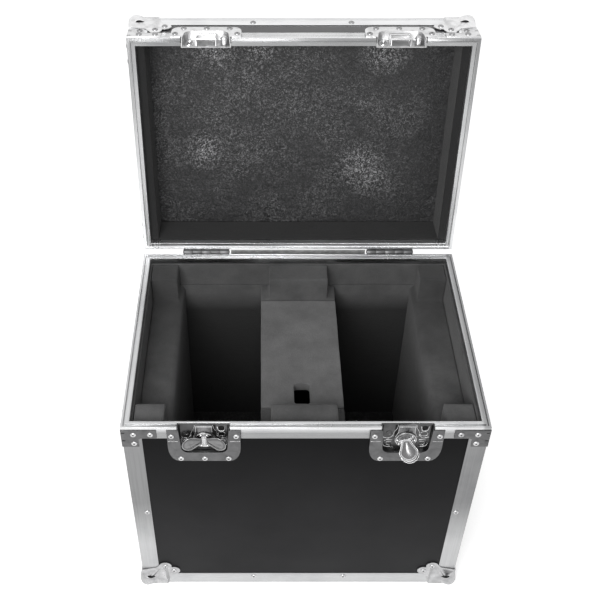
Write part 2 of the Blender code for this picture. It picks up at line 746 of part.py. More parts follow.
def wing():
    """A half of the butterfly, lying along +X from its fold at the origin."""
    root = LUG_NEAR - FIT
    outline = [(-WING_THICK / 2, -root), (WING_ROOT, -root)]
    outline += arc((WING_REACH - WING_HALF, 0), WING_HALF, -90, 90, 10)
    outline += [(WING_ROOT, root), (-WING_THICK / 2, root)]
    return prism([outline], -WING_THICK / 2, WING_THICK / 2, Matrix())


FRONT_TURN = Matrix.Rotation(math.radians(90), 4, "X")
LATCHES = ((-1, "left", 0, (LEFT_FOLD, LEFT_FOLD), CLAW_TRAVEL),
           (1, "right", RIGHT_TURN, RIGHT_FOLDS, RIGHT_LIFT))
for side, name, turn, folds, lift in LATCHES:
    frame = latch_frame(side, RIM)
    slide = empty("latch_slide_" + name, frame.translation, stand, FRONT_TURN.to_euler())
    node("latch_claw_" + name, claw(lift, CLAW_TRAVEL - lift), STEEL, slide)
    pivot = empty("latch_turn_" + name, frame @ Vector((0, -HUB_DOWN, 0)), stand,
                  (FRONT_TURN @ Matrix.Rotation(turn, 4, "Z")).to_euler())
    node("latch_hub_" + name, hub(), ZINC, pivot, round_shape=True)
    for half, letter, fold in zip(SIDES, "ab", folds):
        flip = Matrix.Rotation(0 if half > 0 else math.pi, 4, "Z")
        hinge = empty(f"latch_fold_{name}_{letter}", (half * WING_FOLD, 0, WING_AXIS), pivot,
                      (flip @ Matrix.Rotation(-fold, 4, "Y")).to_euler())
        node(f"latch_wing_{name}_{letter}", wing(), ZINC, hinge)


# Hinges

def knuckle_span(index):
    step = HINGE_LONG / KNUCKLES
    start = -HINGE_LONG / 2 + index * step
    return start + FIT / 2, start + step - FIT / 2


def leaf(up):
    """A hinge leaf: a plate on the rim's leg and its share of the knuckles round the pin."""
    low, high = sorted((up * LEAF_LONG, up * BRACE_TOP))
    solid = box((-HINGE_LONG / 2, -PIN_OUT - SEAT, low), (HINGE_LONG / 2, -PIN_OUT - FACE, high))
    heel = BRACE_TOP + PLATE
    outline = [(-PIN_OUT + FIT, -heel), (-PIN_OUT + FIT, 0)] + arc((0, 0), BARREL_RADIUS, 168, -60, 12)
    outline.append((-PIN_RADIUS, -heel))
    bore = arc((0, 0), PIN_RADIUS + FIT, 0, 330, 11)
    for index in range(0 if up < 0 else 1, KNUCKLES, 2):
        start, end = knuckle_span(index)
        knuckle = prism([outline, bore], start, end, axes((0, 1, 0), (0, 0, -up)))
        solid = cut(solid, knuckle, "UNION")
    return solid


PIN_AT = Matrix.Translation((0, HALF_D + PIN_OUT, RIM + RIM_GAP / 2))
for side, name in ((-1, "left"), (1, "right")):
    at = PIN_AT @ Matrix.Translation((side * HINGE_X, 0, 0))
    for up, half, make in ((-1, "hinge_base_leaf_", node), (1, "hinge_lid_leaf_", lid_node)):
        piece = leaf(up)
        piece.transform(at)
        make(half + name, piece, ZINC)
    reach = HINGE_LONG / 2 + PIN_PROUD
    pin = rod((-reach, 0, 0), (reach, 0, 0), PIN_RADIUS, 16)
    pin.transform(at)
    node("hinge_pin_" + name, pin, DARK_STEEL, round_shape=True)
strip_half = HINGE_X - HINGE_LONG / 2 - STRIP_END
across = -LIP + FIT
strip_outline = [(across, -STRIP_FOOT), (across + PLATE, -STRIP_FOOT), (across + PLATE, -STRIP_FOLD),
                 (STRIP_OUT + PLATE, -STRIP_FOLD + PLATE), (STRIP_OUT + PLATE, STRIP_TOP),
                 (STRIP_OUT, STRIP_TOP), (STRIP_OUT, -STRIP_FOLD + 2 * PLATE), (across, -STRIP_FOLD + PLATE)]
strip_at = axes((0, 1, 0), (0, 0, 1), (0, HALF_D, RIM))
node("rear_gap_strip", prism([strip_outline], -strip_half, strip_half, strip_at), DARK_STEEL)


# Foam

WALL_X = HALF_W - PANEL_IN - BOARD - FIT
WALL_Y = HALF_D - PANEL_IN - BOARD - FIT
FLOOR_TOP = BOARD_FOOT + BOARD
FOAM_LOW = FLOOR_TOP + FIT + FOAM_FLOOR
SLAB = RIM - SLAB_TOP
BLOCK = RIM - BLOCK_TOP
FOAM_X = WALL_X - WALL_FOAM - FOAM_FIT
FOAM_Y = WALL_Y - WALL_FOAM - FOAM_FIT


def tray(foot, top, hollow_low, hollow_high, wall_x, wall_y):
    """A foam tray as large as the boards leave room for, hollowed between two levels."""
    hollow = board(WALL_X - wall_x, WALL_Y - wall_y, hollow_low, hollow_high)
    return cut(board(WALL_X, WALL_Y, foot, top), hollow)


lining = tray(FLOOR_TOP + FIT, RIM - INNER_LEG - FIT, FOAM_LOW, RIM, WALL_FOAM, WALL_FOAM)
for side in SIDES:
    window = hole_box(HANDLE_PAN_HALF + PAN_WALL + FIT, -HANDLE_PAN_TALL - PAN_WALL - FIT,
                      HANDLE_PAN_TALL + PAN_WALL + FIT, side_frame(side), INSIDE_IN + WALL_FOAM)
    lining = cut(lining, window)
node("foam_tray", lining, FOAM)


def block(x_low, x_high, y_low, y_high, low, high):
    """A foam block with its top edges a little rounded."""
    solid = box((x_low, y_low, low), (x_high, y_high, high))
    top = [edge for edge in solid.edges if min(vert.co.z for vert in edge.verts) > high - FIT]
    bmesh.ops.bevel(solid, geom=top, offset=BLOCK_ROUND, segments=2, affect="EDGES", profile=0.5)
    return solid


for side, name in ((-1, "left"), (1, "right")):
    low, high = sorted((side * PAD_INNER, side * FOAM_X))
    inner = side * PAD_INNER

    def top_inner(first, second):
        return all(abs(point.x - inner) < FIT and abs(point.z - SLAB) < FIT for point in (first, second))

    pad = rounded_box((low, -FOAM_Y, FOAM_LOW + FIT), (high, FOAM_Y, SLAB), PAD_ROUND, 5, top_inner)
    low, high = sorted((side * BLOCK_X, side * FOAM_X))
    for end in SIDES:
        near, far = sorted((end * BLOCK_Y, end * FOAM_Y))
        pad = cut(pad, block(low, high, near, far, SLAB - PAD_ROUND, BLOCK), "UNION")
    node("side_pad_" + name, pad, FOAM)


# The hollow divider: a foam box whose cover lifts out between its two end blocks

COVER_FOOT = SLAB - COVER_THICK
divider = box((-DIVIDER_HALF, -FOAM_Y, FOAM_LOW + FIT), (DIVIDER_HALF, FOAM_Y, SLAB))
hollow_x, hollow_y = DIVIDER_HALF - DIVIDER_WALL, FOAM_Y - DIVIDER_WALL
divider = cut(divider, box((-DIVIDER_HALF - OVERRUN, -COVER_SLIT, COVER_FOOT),
                           (DIVIDER_HALF + OVERRUN, BLOCK_Y, RIM)))
divider = cut(divider, box((-hollow_x, -hollow_y, FOAM_LOW + DIVIDER_WALL),
                           (hollow_x, BLOCK_Y, COVER_FOOT + OVERRUN)))
for end in SIDES:
    near, far = sorted((end * BLOCK_Y, end * FOAM_Y))
    divider = cut(divider, block(-BLOCK_HALF, BLOCK_HALF, near, far, SLAB - COVER_THICK / 2, BLOCK), "UNION")
node("divider_box", divider, FOAM)
cover = [(-DIVIDER_HALF, -COVER_SLIT + FOAM_FIT), (DIVIDER_HALF, -COVER_SLIT + FOAM_FIT),
         (DIVIDER_HALF, BLOCK_Y - FOAM_FIT), (-DIVIDER_HALF, BLOCK_Y - FOAM_FIT)]
finger_hole = [(-HOLE_HALF, -HOLE_FRONT), (HOLE_HALF, -HOLE_FRONT), (HOLE_HALF, -HOLE_BACK),
               (-HOLE_HALF, -HOLE_BACK)]
node("cable_box_cover", prism([cover, finger_hole], COVER_FOOT + FOAM_FIT, SLAB, Matrix()), FOAM)


# The lid's foam: a sheet over the top board and a lining round its walls

LID_INNER = LID_BOARD_TOP - BOARD - FIT
SHEET_LOW = LID_INNER - LID_FOAM
lining = tray(LID_RIM + INNER_LEG + FIT, LID_INNER, LID_RIM, SHEET_LOW, LID_SIDE_LINING, LID_LINING)
for side in SIDES:
    window = hole_box(PAN_TOP_HALF + PAN_WALL + FIT, -OVERRUN, KEEPER_PAN + PAN_WALL + FIT,
                      latch_frame(side, LID_RIM), KEEPER_DEEP + PAN_WALL + FIT)
    lining = cut(lining, window)
lid_node("lid_foam", lining, FOAM)


# Side handles: a closed dish with two lugs, and the bail between them

def handle_dish():
    outer = [(-HANDLE_HALF, -HANDLE_TALL), (HANDLE_HALF, -HANDLE_TALL), (HANDLE_HALF, HANDLE_TALL),
             (-HANDLE_HALF, HANDLE_TALL)]
    plate = prism([outer], -SEAT, -FACE, Matrix())

    def pan(wall, deep, front):
        low = (-HANDLE_PAN_HALF - wall, -HANDLE_PAN_TALL - wall, -deep - wall)
        high = (HANDLE_PAN_HALF + wall, HANDLE_PAN_TALL + wall, front)
        return box(low, high)

    solid = cut(plate, pan(PAN_WALL, HANDLE_DEEP, -FACE - FIT), "UNION")
    solid = cut(solid, pan(0, HANDLE_DEEP, OVERRUN))
    for side in SIDES:
        inner = BAIL_HALF + BAIL_RADIUS + FIT
        low, high = sorted((side * inner, side * (inner + LUG_THICK)))
        lug = box((low, BAIL_PIVOT - LUG_TALL, -HANDLE_DEEP - PAN_WALL / 2),
                  (high, BAIL_PIVOT + LUG_TALL, -PLATE))
        solid = cut(solid, lug, "UNION")
    reach = BAIL_HALF + BAIL_RADIUS + LUG_THICK + OVERRUN
    bore = rod((-reach, BAIL_PIVOT, -BAIL_IN), (reach, BAIL_PIVOT, -BAIL_IN), STUB_RADIUS + FIT, 12)
    return cut(solid, bore)


def bail():
    """Two arms, a thicker grip and two stubs, around the pivot's middle."""
    wire = bpy.data.curves.new("bail", "CURVE")
    wire.dimensions = "3D"
    wire.bevel_depth = BAIL_RADIUS
    wire.bevel_resolution = 2
    wire.use_fill_caps = True
    line = wire.splines.new("POLY")
    bend = arc((BAIL_HALF - BAIL_BEND, -BAIL_DROP + BAIL_BEND), BAIL_BEND, -90, 0, 4)
    points = [(-across, up) for across, up in reversed(bend)] + bend
    points = [(-BAIL_HALF, BAIL_RADIUS)] + points + [(BAIL_HALF, BAIL_RADIUS)]
    line.points.add(len(points) - 1)
    for point, (across, up) in zip(line.points, points):
        point.co = (across, up, 0, 1)
    shape = bpy.data.objects.new("bail", wire)
    cutters.objects.link(shape)
    bpy.context.view_layer.update()
    mesh = bpy.data.meshes.new_from_object(shape.evaluated_get(bpy.context.evaluated_depsgraph_get()))
    solid = bmesh.new()
    solid.from_mesh(mesh)
    bmesh.ops.remove_doubles(solid, verts=solid.verts[:], dist=FIT / 100)
    bmesh.ops.recalc_face_normals(solid, faces=solid.faces[:])
    bpy.data.objects.remove(shape)
    bpy.data.curves.remove(wire)
    bpy.data.meshes.remove(mesh)
    grip = BAIL_HALF - BAIL_BEND - GRIP_RADIUS
    solid = cut(solid, rod((-grip, -BAIL_DROP, 0), (grip, -BAIL_DROP, 0), GRIP_RADIUS, 14), "UNION")
    for side in SIDES:
        end = side * (BAIL_HALF + BAIL_RADIUS + LUG_THICK)
        stub = rod((side * (BAIL_HALF - BAIL_RADIUS / 2), 0, 0), (end, 0, 0), STUB_RADIUS, 12)
        solid = cut(solid, stub, "UNION")
    return solid


for side, name in ((-1, "left"), (1, "right")):
    frame = side_frame(side)
    dish_solid = handle_dish()
    dish_solid.transform(frame)
    node("handle_dish_" + name, dish_solid, ZINC)
    pivot = empty("handle_pivot_" + name, frame @ Vector((0, BAIL_PIVOT, -BAIL_IN)), stand, frame.to_euler())
    node("handle_bail_" + name, bail(), STEEL, pivot, round_shape=True)


# Stand the case with the middle of its bounding box over the origin

bpy.context.view_layer.update()
solids = [part for part in case.objects if part.type == "MESH"]
corners = [part.matrix_world @ vert.co for part in solids for vert in part.data.vertices]
middle = [(min(point[axis] for point in corners) + max(point[axis] for point in corners)) / 2
          for axis in (0, 1)]
stand.location = (-middle[0], -middle[1], -min(point.z for point in corners))
bpy.context.view_layer.update()
print("case frame moved to", tuple(round(value, 6) for value in stand.location))
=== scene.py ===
import json
import math

import bpy
from mathutils import Matrix, Vector


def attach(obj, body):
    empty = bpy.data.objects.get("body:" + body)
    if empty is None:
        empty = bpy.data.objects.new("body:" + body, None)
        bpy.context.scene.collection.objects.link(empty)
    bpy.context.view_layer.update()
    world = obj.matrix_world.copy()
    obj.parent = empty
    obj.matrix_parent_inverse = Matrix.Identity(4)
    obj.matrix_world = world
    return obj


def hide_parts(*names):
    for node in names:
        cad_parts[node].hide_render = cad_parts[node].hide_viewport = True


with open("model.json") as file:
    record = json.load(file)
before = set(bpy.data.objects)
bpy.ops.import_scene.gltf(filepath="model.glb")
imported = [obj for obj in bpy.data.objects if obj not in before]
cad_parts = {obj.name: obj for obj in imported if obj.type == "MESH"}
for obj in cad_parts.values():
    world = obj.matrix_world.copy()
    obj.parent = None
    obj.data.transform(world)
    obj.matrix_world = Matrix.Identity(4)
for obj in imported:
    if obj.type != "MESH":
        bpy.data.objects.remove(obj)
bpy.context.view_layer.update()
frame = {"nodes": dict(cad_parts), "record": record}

# The base's middle, half its width and depth, its underside, its rim's edge and its front, in metres
BASE_Y = -0.0619
HALF_W = 0.275
HALF_D = 0.1965
FLOOR = 0.006
RIM = 0.443
FRONT = BASE_Y - HALF_D

# The shut lid's rim and top, and how far each latch stands from the middle
LID_RIM, LID_TOP = 0.4436, 0.5341
LATCH_X = 0.152

SIDES = ((-1, "left"), (1, "right"))
PLACES = ("front_left", "front_right", "rear_left", "rear_right")

# The sharpest edge that is still shaded round, on metal and on foam
SMOOTH, SOFT = math.radians(35), math.radians(60)


# Camera, as fitted to the case's corners in the photograph

lens = bpy.data.cameras.new("camera")
lens.lens = 56.52
lens.sensor_width = 36
lens.shift_x = 0.0658
lens.shift_y = -0.0428
camera = bpy.data.objects.new("camera", lens)
camera.location = (-0.0671, -1.0779 + BASE_Y, 1.5440)
camera.rotation_euler = (math.radians(47.93), 0, 0)
bpy.context.scene.collection.objects.link(camera)
bpy.context.scene.camera = camera


# Small tools for the finishes

def new_finish(name, metallic, roughness):
    finish = bpy.data.materials.new(name)
    finish.use_nodes = True
    shader = finish.node_tree.nodes["Principled BSDF"]
    shader.inputs["Metallic"].default_value = metallic
    shader.inputs["Roughness"].default_value = roughness
    return finish, finish.node_tree, shader


def across_piece(tree, stretch=(1, 1, 1), lean=0.0):
    """Object coordinates, stretched where a grain runs one way; a leaning piece is set upright first."""
    where = tree.nodes.new("ShaderNodeTexCoord")
    upright = tree.nodes.new("ShaderNodeMapping")
    upright.inputs["Rotation"].default_value = (lean, 0, 0)
    mapping = tree.nodes.new("ShaderNodeMapping")
    mapping.inputs["Scale"].default_value = stretch
    tree.links.new(where.outputs["Object"], upright.inputs["Vector"])
    tree.links.new(upright.outputs["Vector"], mapping.inputs["Vector"])
    return mapping.outputs["Vector"]


def grain(tree, vector, scale, detail=4.0, rough=0.55, distort=0.0):
    noise = tree.nodes.new("ShaderNodeTexNoise")
    noise.inputs["Scale"].default_value = scale
    noise.inputs["Detail"].default_value = detail
    noise.inputs["Roughness"].default_value = rough
    noise.inputs["Distortion"].default_value = distort
    tree.links.new(vector, noise.inputs["Vector"])
    return noise.outputs["Fac"]


def cells(tree, vector, scale, feature="F1"):
    voronoi = tree.nodes.new("ShaderNodeTexVoronoi")
    voronoi.feature = feature
    voronoi.inputs["Scale"].default_value = scale
    tree.links.new(vector, voronoi.inputs["Vector"])
    return voronoi.outputs["Distance"]


def spread(tree, factor, source, target):
    """A grain's range stretched to another."""
    step = tree.nodes.new("ShaderNodeMapRange")
    step.inputs["From Min"].default_value, step.inputs["From Max"].default_value = source
    step.inputs["To Min"].default_value, step.inputs["To Max"].default_value = target
    tree.links.new(factor, step.inputs["Value"])
    return step.outputs["Result"]


def shades(tree, factor, stops):
    """Grey or coloured stops along a grain."""
    ramp = tree.nodes.new("ShaderNodeValToRGB")
    for index, (place, colour) in enumerate(stops):
        if index < 2:
            stop = ramp.color_ramp.elements[index]
            stop.position = place
        else:
            stop = ramp.color_ramp.elements.new(place)
        stop.color = (*colour, 1)
    tree.links.new(factor, ramp.inputs["Fac"])
    return ramp.outputs["Color"]


def put(tree, value, socket):
    """A number, a colour or another node's result goes into a socket."""
    if isinstance(value, (int, float)):
        socket.default_value = value
    elif isinstance(value, tuple):
        socket.default_value = (*value, 1)
    else:
        tree.links.new(value, socket)


def blend_colours(tree, factor, first, second, kind="MIX"):
    mix = tree.nodes.new("ShaderNodeMix")
    mix.data_type = "RGBA"
    mix.blend_type = kind
    put(tree, factor, mix.inputs[0])
    put(tree, first, mix.inputs[6])
    put(tree, second, mix.inputs[7])
    return mix.outputs[2]


def combine(tree, first, second, kind):
    step = tree.nodes.new("ShaderNodeMath")
    step.operation = kind
    put(tree, first, step.inputs[0])
    put(tree, second, step.inputs[1])
    return step.outputs[0]


def relief(tree, shader, height, distance, strength):
    bump = tree.nodes.new("ShaderNodeBump")
    bump.inputs["Distance"].default_value = distance
    bump.inputs["Strength"].default_value = strength
    tree.links.new(height, bump.inputs["Height"])
    tree.links.new(bump.outputs["Normal"], shader.inputs["Normal"])


def measured(tree, operation, vector):
    """Each point's distance from a place, or how far it lies along a direction."""
    where = tree.nodes.new("ShaderNodeTexCoord")
    step = tree.nodes.new("ShaderNodeVectorMath")
    step.operation = operation
    step.inputs[1].default_value = vector
    tree.links.new(where.outputs["Object"], step.inputs[0])
    return step.outputs["Value"]


def along(tree, direction, levels):
    """From 0 to 1 between two levels along a direction."""
    return spread(tree, measured(tree, "DOT_PRODUCT", direction), levels, (0.0, 1.0))


# Finishes

UPWARD, DOWNWARD = (0, 0, 1), (0, 0, -1)
RIGHTWARD, LEFTWARD, REARWARD = (1, 0, 0), (-1, 0, 0), (0, 1, 0)
SCUFF_GREY, FLOOR_DUST_AND_REFLECTION_GREY, NICK_GREY = (0.07, 0.07, 0.07), (0.068, 0.068, 0.070), (0.22, 0.22, 0.22)
FOAM_ROUGH = 0.92


def laminate(name, dust_and_reflection, dark, light, shine=0.03):
    """Black laminated board: a fine leathery emboss and scuffs; the base's boards turn lighter towards the
    floor, partly dust and partly a painted reflection of the white floor.
    """
    finish, tree, shader = new_finish(name, 0.0, 0.42)
    shader.inputs["Specular IOR Level"].default_value = shine
    even = across_piece(tree)
    cloud = grain(tree, even, 9, 5)
    colour = shades(tree, cloud, [(0.35, (dark, dark, dark * 1.1)), (0.7, (light, light, light * 1.08))])
    if dust_and_reflection:
        # Lighter towards the floor: partly dust, partly a painted reflection of the white floor.
        low = along(tree, DOWNWARD, (-0.43, -0.02))
        dust_and_reflection_mask = combine(tree, low, spread(tree, grain(tree, even, 6, 6), (0.3, 0.7), (0.6, 1.0)), "MULTIPLY")
        colour = blend_colours(tree, combine(tree, dust_and_reflection_mask, 0.55, "MULTIPLY"), colour, FLOOR_DUST_AND_REFLECTION_GREY)
    scuff = grain(tree, across_piece(tree, (1, 1, 9)), 60, 3)
    colour = blend_colours(tree, spread(tree, scuff, (0.68, 0.78), (0.0, 0.18)), colour, SCUFF_GREY)
    tree.links.new(colour, shader.inputs["Base Color"])
    tree.links.new(spread(tree, cloud, (0.3, 0.7), (0.36, 0.50)), shader.inputs["Roughness"])
    emboss = combine(tree, cells(tree, even, 700), grain(tree, even, 1100, 2), "ADD")
    relief(tree, shader, emboss, 0.00010, 0.4)
    return finish


def cool(grey):
    """Bare aluminium's faintly blue grey."""
    return grey, grey * 1.006, grey * 1.014


def extrusion(name, grey, stretch, rough, painted_tones=(), turns=(), lean=0.0):
    """Mill-finish aluminium with die lines along its length. Each painted tone is a direction, two levels
    and a grey, painted in as light or shade; beyond a turn's levels the bars run the other way."""
    finish, tree, shader = new_finish(name, 1.0, rough)
    lines = grain(tree, across_piece(tree, stretch, lean), 420, 3, 0.6)
    for direction, low, high, other_stretch in turns:
        beyond = along(tree, direction, (low, high))
        other_lines = grain(tree, across_piece(tree, other_stretch, lean), 420, 3, 0.6)
        lines = combine(tree, combine(tree, lines, combine(tree, 1.0, beyond, "SUBTRACT"), "MULTIPLY"),
                        combine(tree, other_lines, beyond, "MULTIPLY"), "ADD")
    cloud = grain(tree, across_piece(tree), 14, 5, 0.6)
    tint = cool(grey)
    # Painted light and shade: each tone blends the grey towards another along a direction.
    for direction, low, high, other in painted_tones:
        tint = blend_colours(tree, along(tree, direction, (low, high)), tint, cool(other))
    shade = shades(tree, lines, [(0.30, (0.84, 0.84, 0.84)), (0.62, (1.0, 1.0, 1.0))])
    tint = blend_colours(tree, 1.0, tint, shade, "MULTIPLY")
    dull = shades(tree, cloud, [(0.50, (1.0, 1.0, 1.0)), (0.75, (0.86, 0.86, 0.87))])
    tint = blend_colours(tree, 1.0, tint, dull, "MULTIPLY")
    nick = grain(tree, across_piece(tree), 260, 2)
    tint = blend_colours(tree, spread(tree, nick, (0.71, 0.77), (0.0, 0.35)), tint, NICK_GREY)
    tree.links.new(tint, shader.inputs["Base Color"])
    roughness = spread(tree, lines, (0.3, 0.7), (rough - 0.06, rough + 0.10))
    tree.links.new(roughness, shader.inputs["Roughness"])
    relief(tree, shader, lines, 0.00005, 0.4)
    return finish


def plated(name, colour, rough=0.36):
    """Zinc-plated pressed steel, a little blotchy, brighter where it is rubbed."""
    finish, tree, shader = new_finish(name, 1.0, rough)
    even = across_piece(tree)
    cloud = grain(tree, even, 70, 5, 0.6, 0.4)
    fine = grain(tree, even, 900, 2)
    dark = tuple(value * 0.80 for value in colour)
    light = tuple(min(value * 1.18, 1) for value in colour)
    tint = shades(tree, cloud, [(0.32, dark), (0.50, colour), (0.72, light)])
    scratch = grain(tree, across_piece(tree, (1, 1, 14)), 130, 2)
    tint = blend_colours(tree, spread(tree, scratch, (0.68, 0.76), (0.0, 0.4)), tint, light)
    tree.links.new(tint, shader.inputs["Base Color"])
    roughness = spread(tree, cloud, (0.3, 0.7), (rough + 0.08, rough - 0.06))
    tree.links.new(roughness, shader.inputs["Roughness"])
    relief(tree, shader, combine(tree, fine, cloud, "ADD"), 0.00006, 0.3)
    return finish


def dark_plated(name, grey, rough):
    """Dulled or blackened metal, and the painted shade of a gap."""
    finish, tree, shader = new_finish(name, 0.6, rough)
    even = across_piece(tree)
    cloud = grain(tree, even, 120, 4)
    colour = shades(tree, cloud, [(0.35, (grey * 0.8,) * 3), (0.65, (grey * 1.2,) * 3)])
    tree.links.new(colour, shader.inputs["Base Color"])
    roughness = spread(tree, cloud, (0.3, 0.7), (rough - 0.08, rough + 0.10))
    tree.links.new(roughness, shader.inputs["Roughness"])
    relief(tree, shader, grain(tree, even, 1400, 2), 0.00005, 0.4)
    return finish


def foam(name, dark, light, shaded=()):
    """Cut foam: open cells, painted darker inside as shade, and a soft mottle. Each painted shade is a
    direction, the two levels between which the foam darkens, and how much."""
    finish, tree, shader = new_finish(name, 0.0, FOAM_ROUGH)
    shader.inputs["Specular IOR Level"].default_value = 0.3
    even = across_piece(tree)
    mottle = grain(tree, even, 22, 6, 0.62)
    pores = cells(tree, even, 900)
    colour = shades(tree, mottle, [(0.34, dark), (0.66, light)])
    # Painted shade: the pores are darkened.
    pore_shade = spread(tree, pores, (0.10, 0.55), (0.45, 0.0))
    colour = blend_colours(tree, pore_shade, colour, tuple(value * 0.45 for value in dark))
    black = tuple(value * 0.1 for value in dark)
    for direction, low, high, strength in shaded:
        fade = combine(tree, along(tree, direction, (low, high)), strength, "MULTIPLY")
        colour = blend_colours(tree, fade, colour, black)
    tree.links.new(colour, shader.inputs["Base Color"])
    roughness = spread(tree, mottle, (0.3, 0.7), (FOAM_ROUGH - 0.10, FOAM_ROUGH + 0.05))
    tree.links.new(roughness, shader.inputs["Roughness"])
    shader.inputs["Sheen Weight"].default_value = 0.12
    shader.inputs["Sheen Roughness"].default_value = 0.6
    height = combine(tree, pores, combine(tree, grain(tree, even, 260, 4, 0.6), 1.6, "MULTIPLY"), "ADD")
    relief(tree, shader, height, 0.0006, 0.7)
    return finish


def crinkled(name, glint_spots, level=1.0):
    """Hot-skinned sheet foam: a glossy skin crinkled all over, painted darker in its folds and hollows as
    shade, with painted glints on its crests that are strongest, and least rough, round a few spots.
    """
    finish, tree, shader = new_finish(name, 0.0, 0.4)
    even = across_piece(tree)
    folds = grain(tree, even, 270, 3, 0.66, 1.4)
    lumps = grain(tree, even, 38, 4, 0.6)
    wrinkles = combine(tree, folds, combine(tree, lumps, 0.8, "MULTIPLY"), "ADD")
    colour = shades(tree, folds, [(0.36, (0.009, 0.009, 0.0095)), (0.52, (0.028, 0.028, 0.029)),
                                  (0.66, (0.075, 0.075, 0.077))])
    # Painted shade: darker in the hollows.
    hollow_shade = spread(tree, lumps, (0.3, 0.7), (0.45, 0.0))
    colour = blend_colours(tree, hollow_shade, colour, (0.012, 0.012, 0.0125))
    # Painted glints: grey on the crests, strongest round the spots.
    shine = spread(tree, grain(tree, even, 7, 3), (0.45, 0.70), (0.0, 0.35))
    for place, reach in glint_spots:
        spot = spread(tree, measured(tree, "DISTANCE", place), (0.0, reach), (1.0, 0.0))
        shine = combine(tree, shine, spot, "MAXIMUM")
    painted_glint = combine(tree, shine, spread(tree, folds, (0.50, 0.62), (0.0, 1.0)), "MULTIPLY")
    colour = blend_colours(tree, painted_glint, colour, (0.55, 0.55, 0.56))
    # The level darkens the whole sheet; on the well floors it is painted shade.
    colour = blend_colours(tree, 1.0, colour, (level, level, level), "MULTIPLY")
    tree.links.new(colour, shader.inputs["Base Color"])
    tree.links.new(spread(tree, shine, (0.0, 1.0), (0.46, 0.26)), shader.inputs["Roughness"])
    relief(tree, shader, wrinkles, 0.0022, 1.0)
    return finish


# Boards

# Painted reflection: the lid's boards are lighter copies of the same black laminate, and its front board is
# lighter still.
LAMINATE = laminate("board_laminate", True, 0.0045, 0.0070)
LID_LAMINATE = laminate("lid_board_laminate", False, 0.0090, 0.0130)
LID_FRONT_LAMINATE = laminate("lid_front_laminate", False, 0.0260, 0.0360, 1.0)

# Angles and rims: which way the die lines run, the open lid's lean, and where its side bars start

OUT_OF_LID_RIM = (0, 0.99357, -0.11320)
UPRIGHT_GRAIN = (1, 1, 0.02)
LEVEL_GRAIN = (0.02, 0.02, 1)
ACROSS_GRAIN = (0.02, 1, 1)
LID_LEAN = math.radians(6.5)
LID_SIDES = [(RIGHTWARD, 0.2440, 0.2450, UPRIGHT_GRAIN), (LEFTWARD, 0.2440, 0.2450, UPRIGHT_GRAIN)]
# Painted reflection: the posts are darker at the top and lighter towards the foot, as if reflecting the
# white floor.
POST_METAL = extrusion("post_aluminium", 0.50, UPRIGHT_GRAIN, 0.34, [(UPWARD, 0.13, 0.25, 0.24)],
                       [(DOWNWARD, -0.037, -0.035, LEVEL_GRAIN)])
# Painted highlight and shade: the rim's lip is much lighter than its leg, and its right end is one grey,
# darker than the lip.
RIM_METAL = extrusion("rim_aluminium", 0.31, LEVEL_GRAIN, 0.26,
                      [(UPWARD, RIM - 0.014, RIM - 0.004, 0.66), (RIGHTWARD, 0.262, 0.266, 0.38)])
# Painted reflection and shade: the lid's aluminium is a far lighter copy of the base's; on the open lid its
# rim is darkened towards the top and lightened again on its outer part.
LID_RIM_METAL = extrusion("lid_rim_aluminium", 0.80, ACROSS_GRAIN, 0.26,
                          [(UPWARD, 0.47, 0.82, 0.36), (OUT_OF_LID_RIM, 0.0895, 0.0910, 0.90)],
                          LID_SIDES, LID_LEAN)
LID_METAL = extrusion("lid_edge_aluminium", 0.92, ACROSS_GRAIN, 0.30, (), LID_SIDES, LID_LEAN)

# Plates, latches and rivets

# Painted light: these are one zinc plating in lighter and darker copies; the lid's plates and the ball
# corners are painted much lighter than the base's plates, as reflection.
ZINC = plated("zinc_plate", (0.118, 0.118, 0.120))
# Painted shade: a darker zinc for the inside of the latch pans and the pockets pressed in them.
PAN_SHADE_ZINC = plated("pan_shade_zinc", (0.080, 0.080, 0.081), 0.30)
# Painted highlight: a much lighter zinc for beads, pips, knobs, lips, lugs and pins, so they read as
# glints.
HIGHLIGHT_ZINC = plated("painted_highlight_zinc", (0.58, 0.58, 0.585), 0.18)
# A lighter zinc for the hub's disc, the small rivets, the claw's ribs and the wings' middles; on the ribs
# and the hub it is a painted highlight.
LIGHTER_ZINC = plated("lighter_zinc", (0.17, 0.17, 0.172), 0.24)
CORNER_ZINC = plated("corner_zinc", (0.42, 0.42, 0.425), 0.30)
LID_ZINC = plated("lid_zinc", (0.74, 0.74, 0.745), 0.36)
LID_CORNER_ZINC = plated("lid_corner_zinc", (0.80, 0.80, 0.805), 0.36)
# Painted shade: the keepers' pans, darker than the lid's plates.
KEEPER_PAN_SHADE_ZINC = plated("keeper_pan_shade_zinc", (0.52, 0.52, 0.524), 0.38)
# Painted highlight: the keepers' bars.
KEEPER_BAR_HIGHLIGHT_ZINC = plated("keeper_bar_highlight_zinc", (0.60, 0.60, 0.604), 0.26)
# Painted shade: the plates behind the keepers' windows and pockets.
KEEPER_BACK_SHADE_ZINC = plated("keeper_back_shade_zinc", (0.30, 0.30, 0.302), 0.36)
# Painted highlight: the wings' raised rims.
WING_EDGE_HIGHLIGHT_ZINC = plated("wing_edge_highlight_zinc", (0.30, 0.30, 0.302), 0.26)
STEEL = plated("claw_steel", (0.19, 0.19, 0.193), 0.24)
STRIP_METAL = dark_plated("gap_strip_metal", 0.42, 0.40)
PIN_METAL = dark_plated("hinge_pin_metal", 0.05, 0.40)
RIVET_METAL = plated("rivet_metal", (0.50, 0.50, 0.505), 0.24)
LID_RIVET_METAL = plated("lid_rivet_metal", (0.34, 0.34, 0.345), 0.30)
RIVET_CORE = dark_plated("rivet_core", 0.05, 0.5)
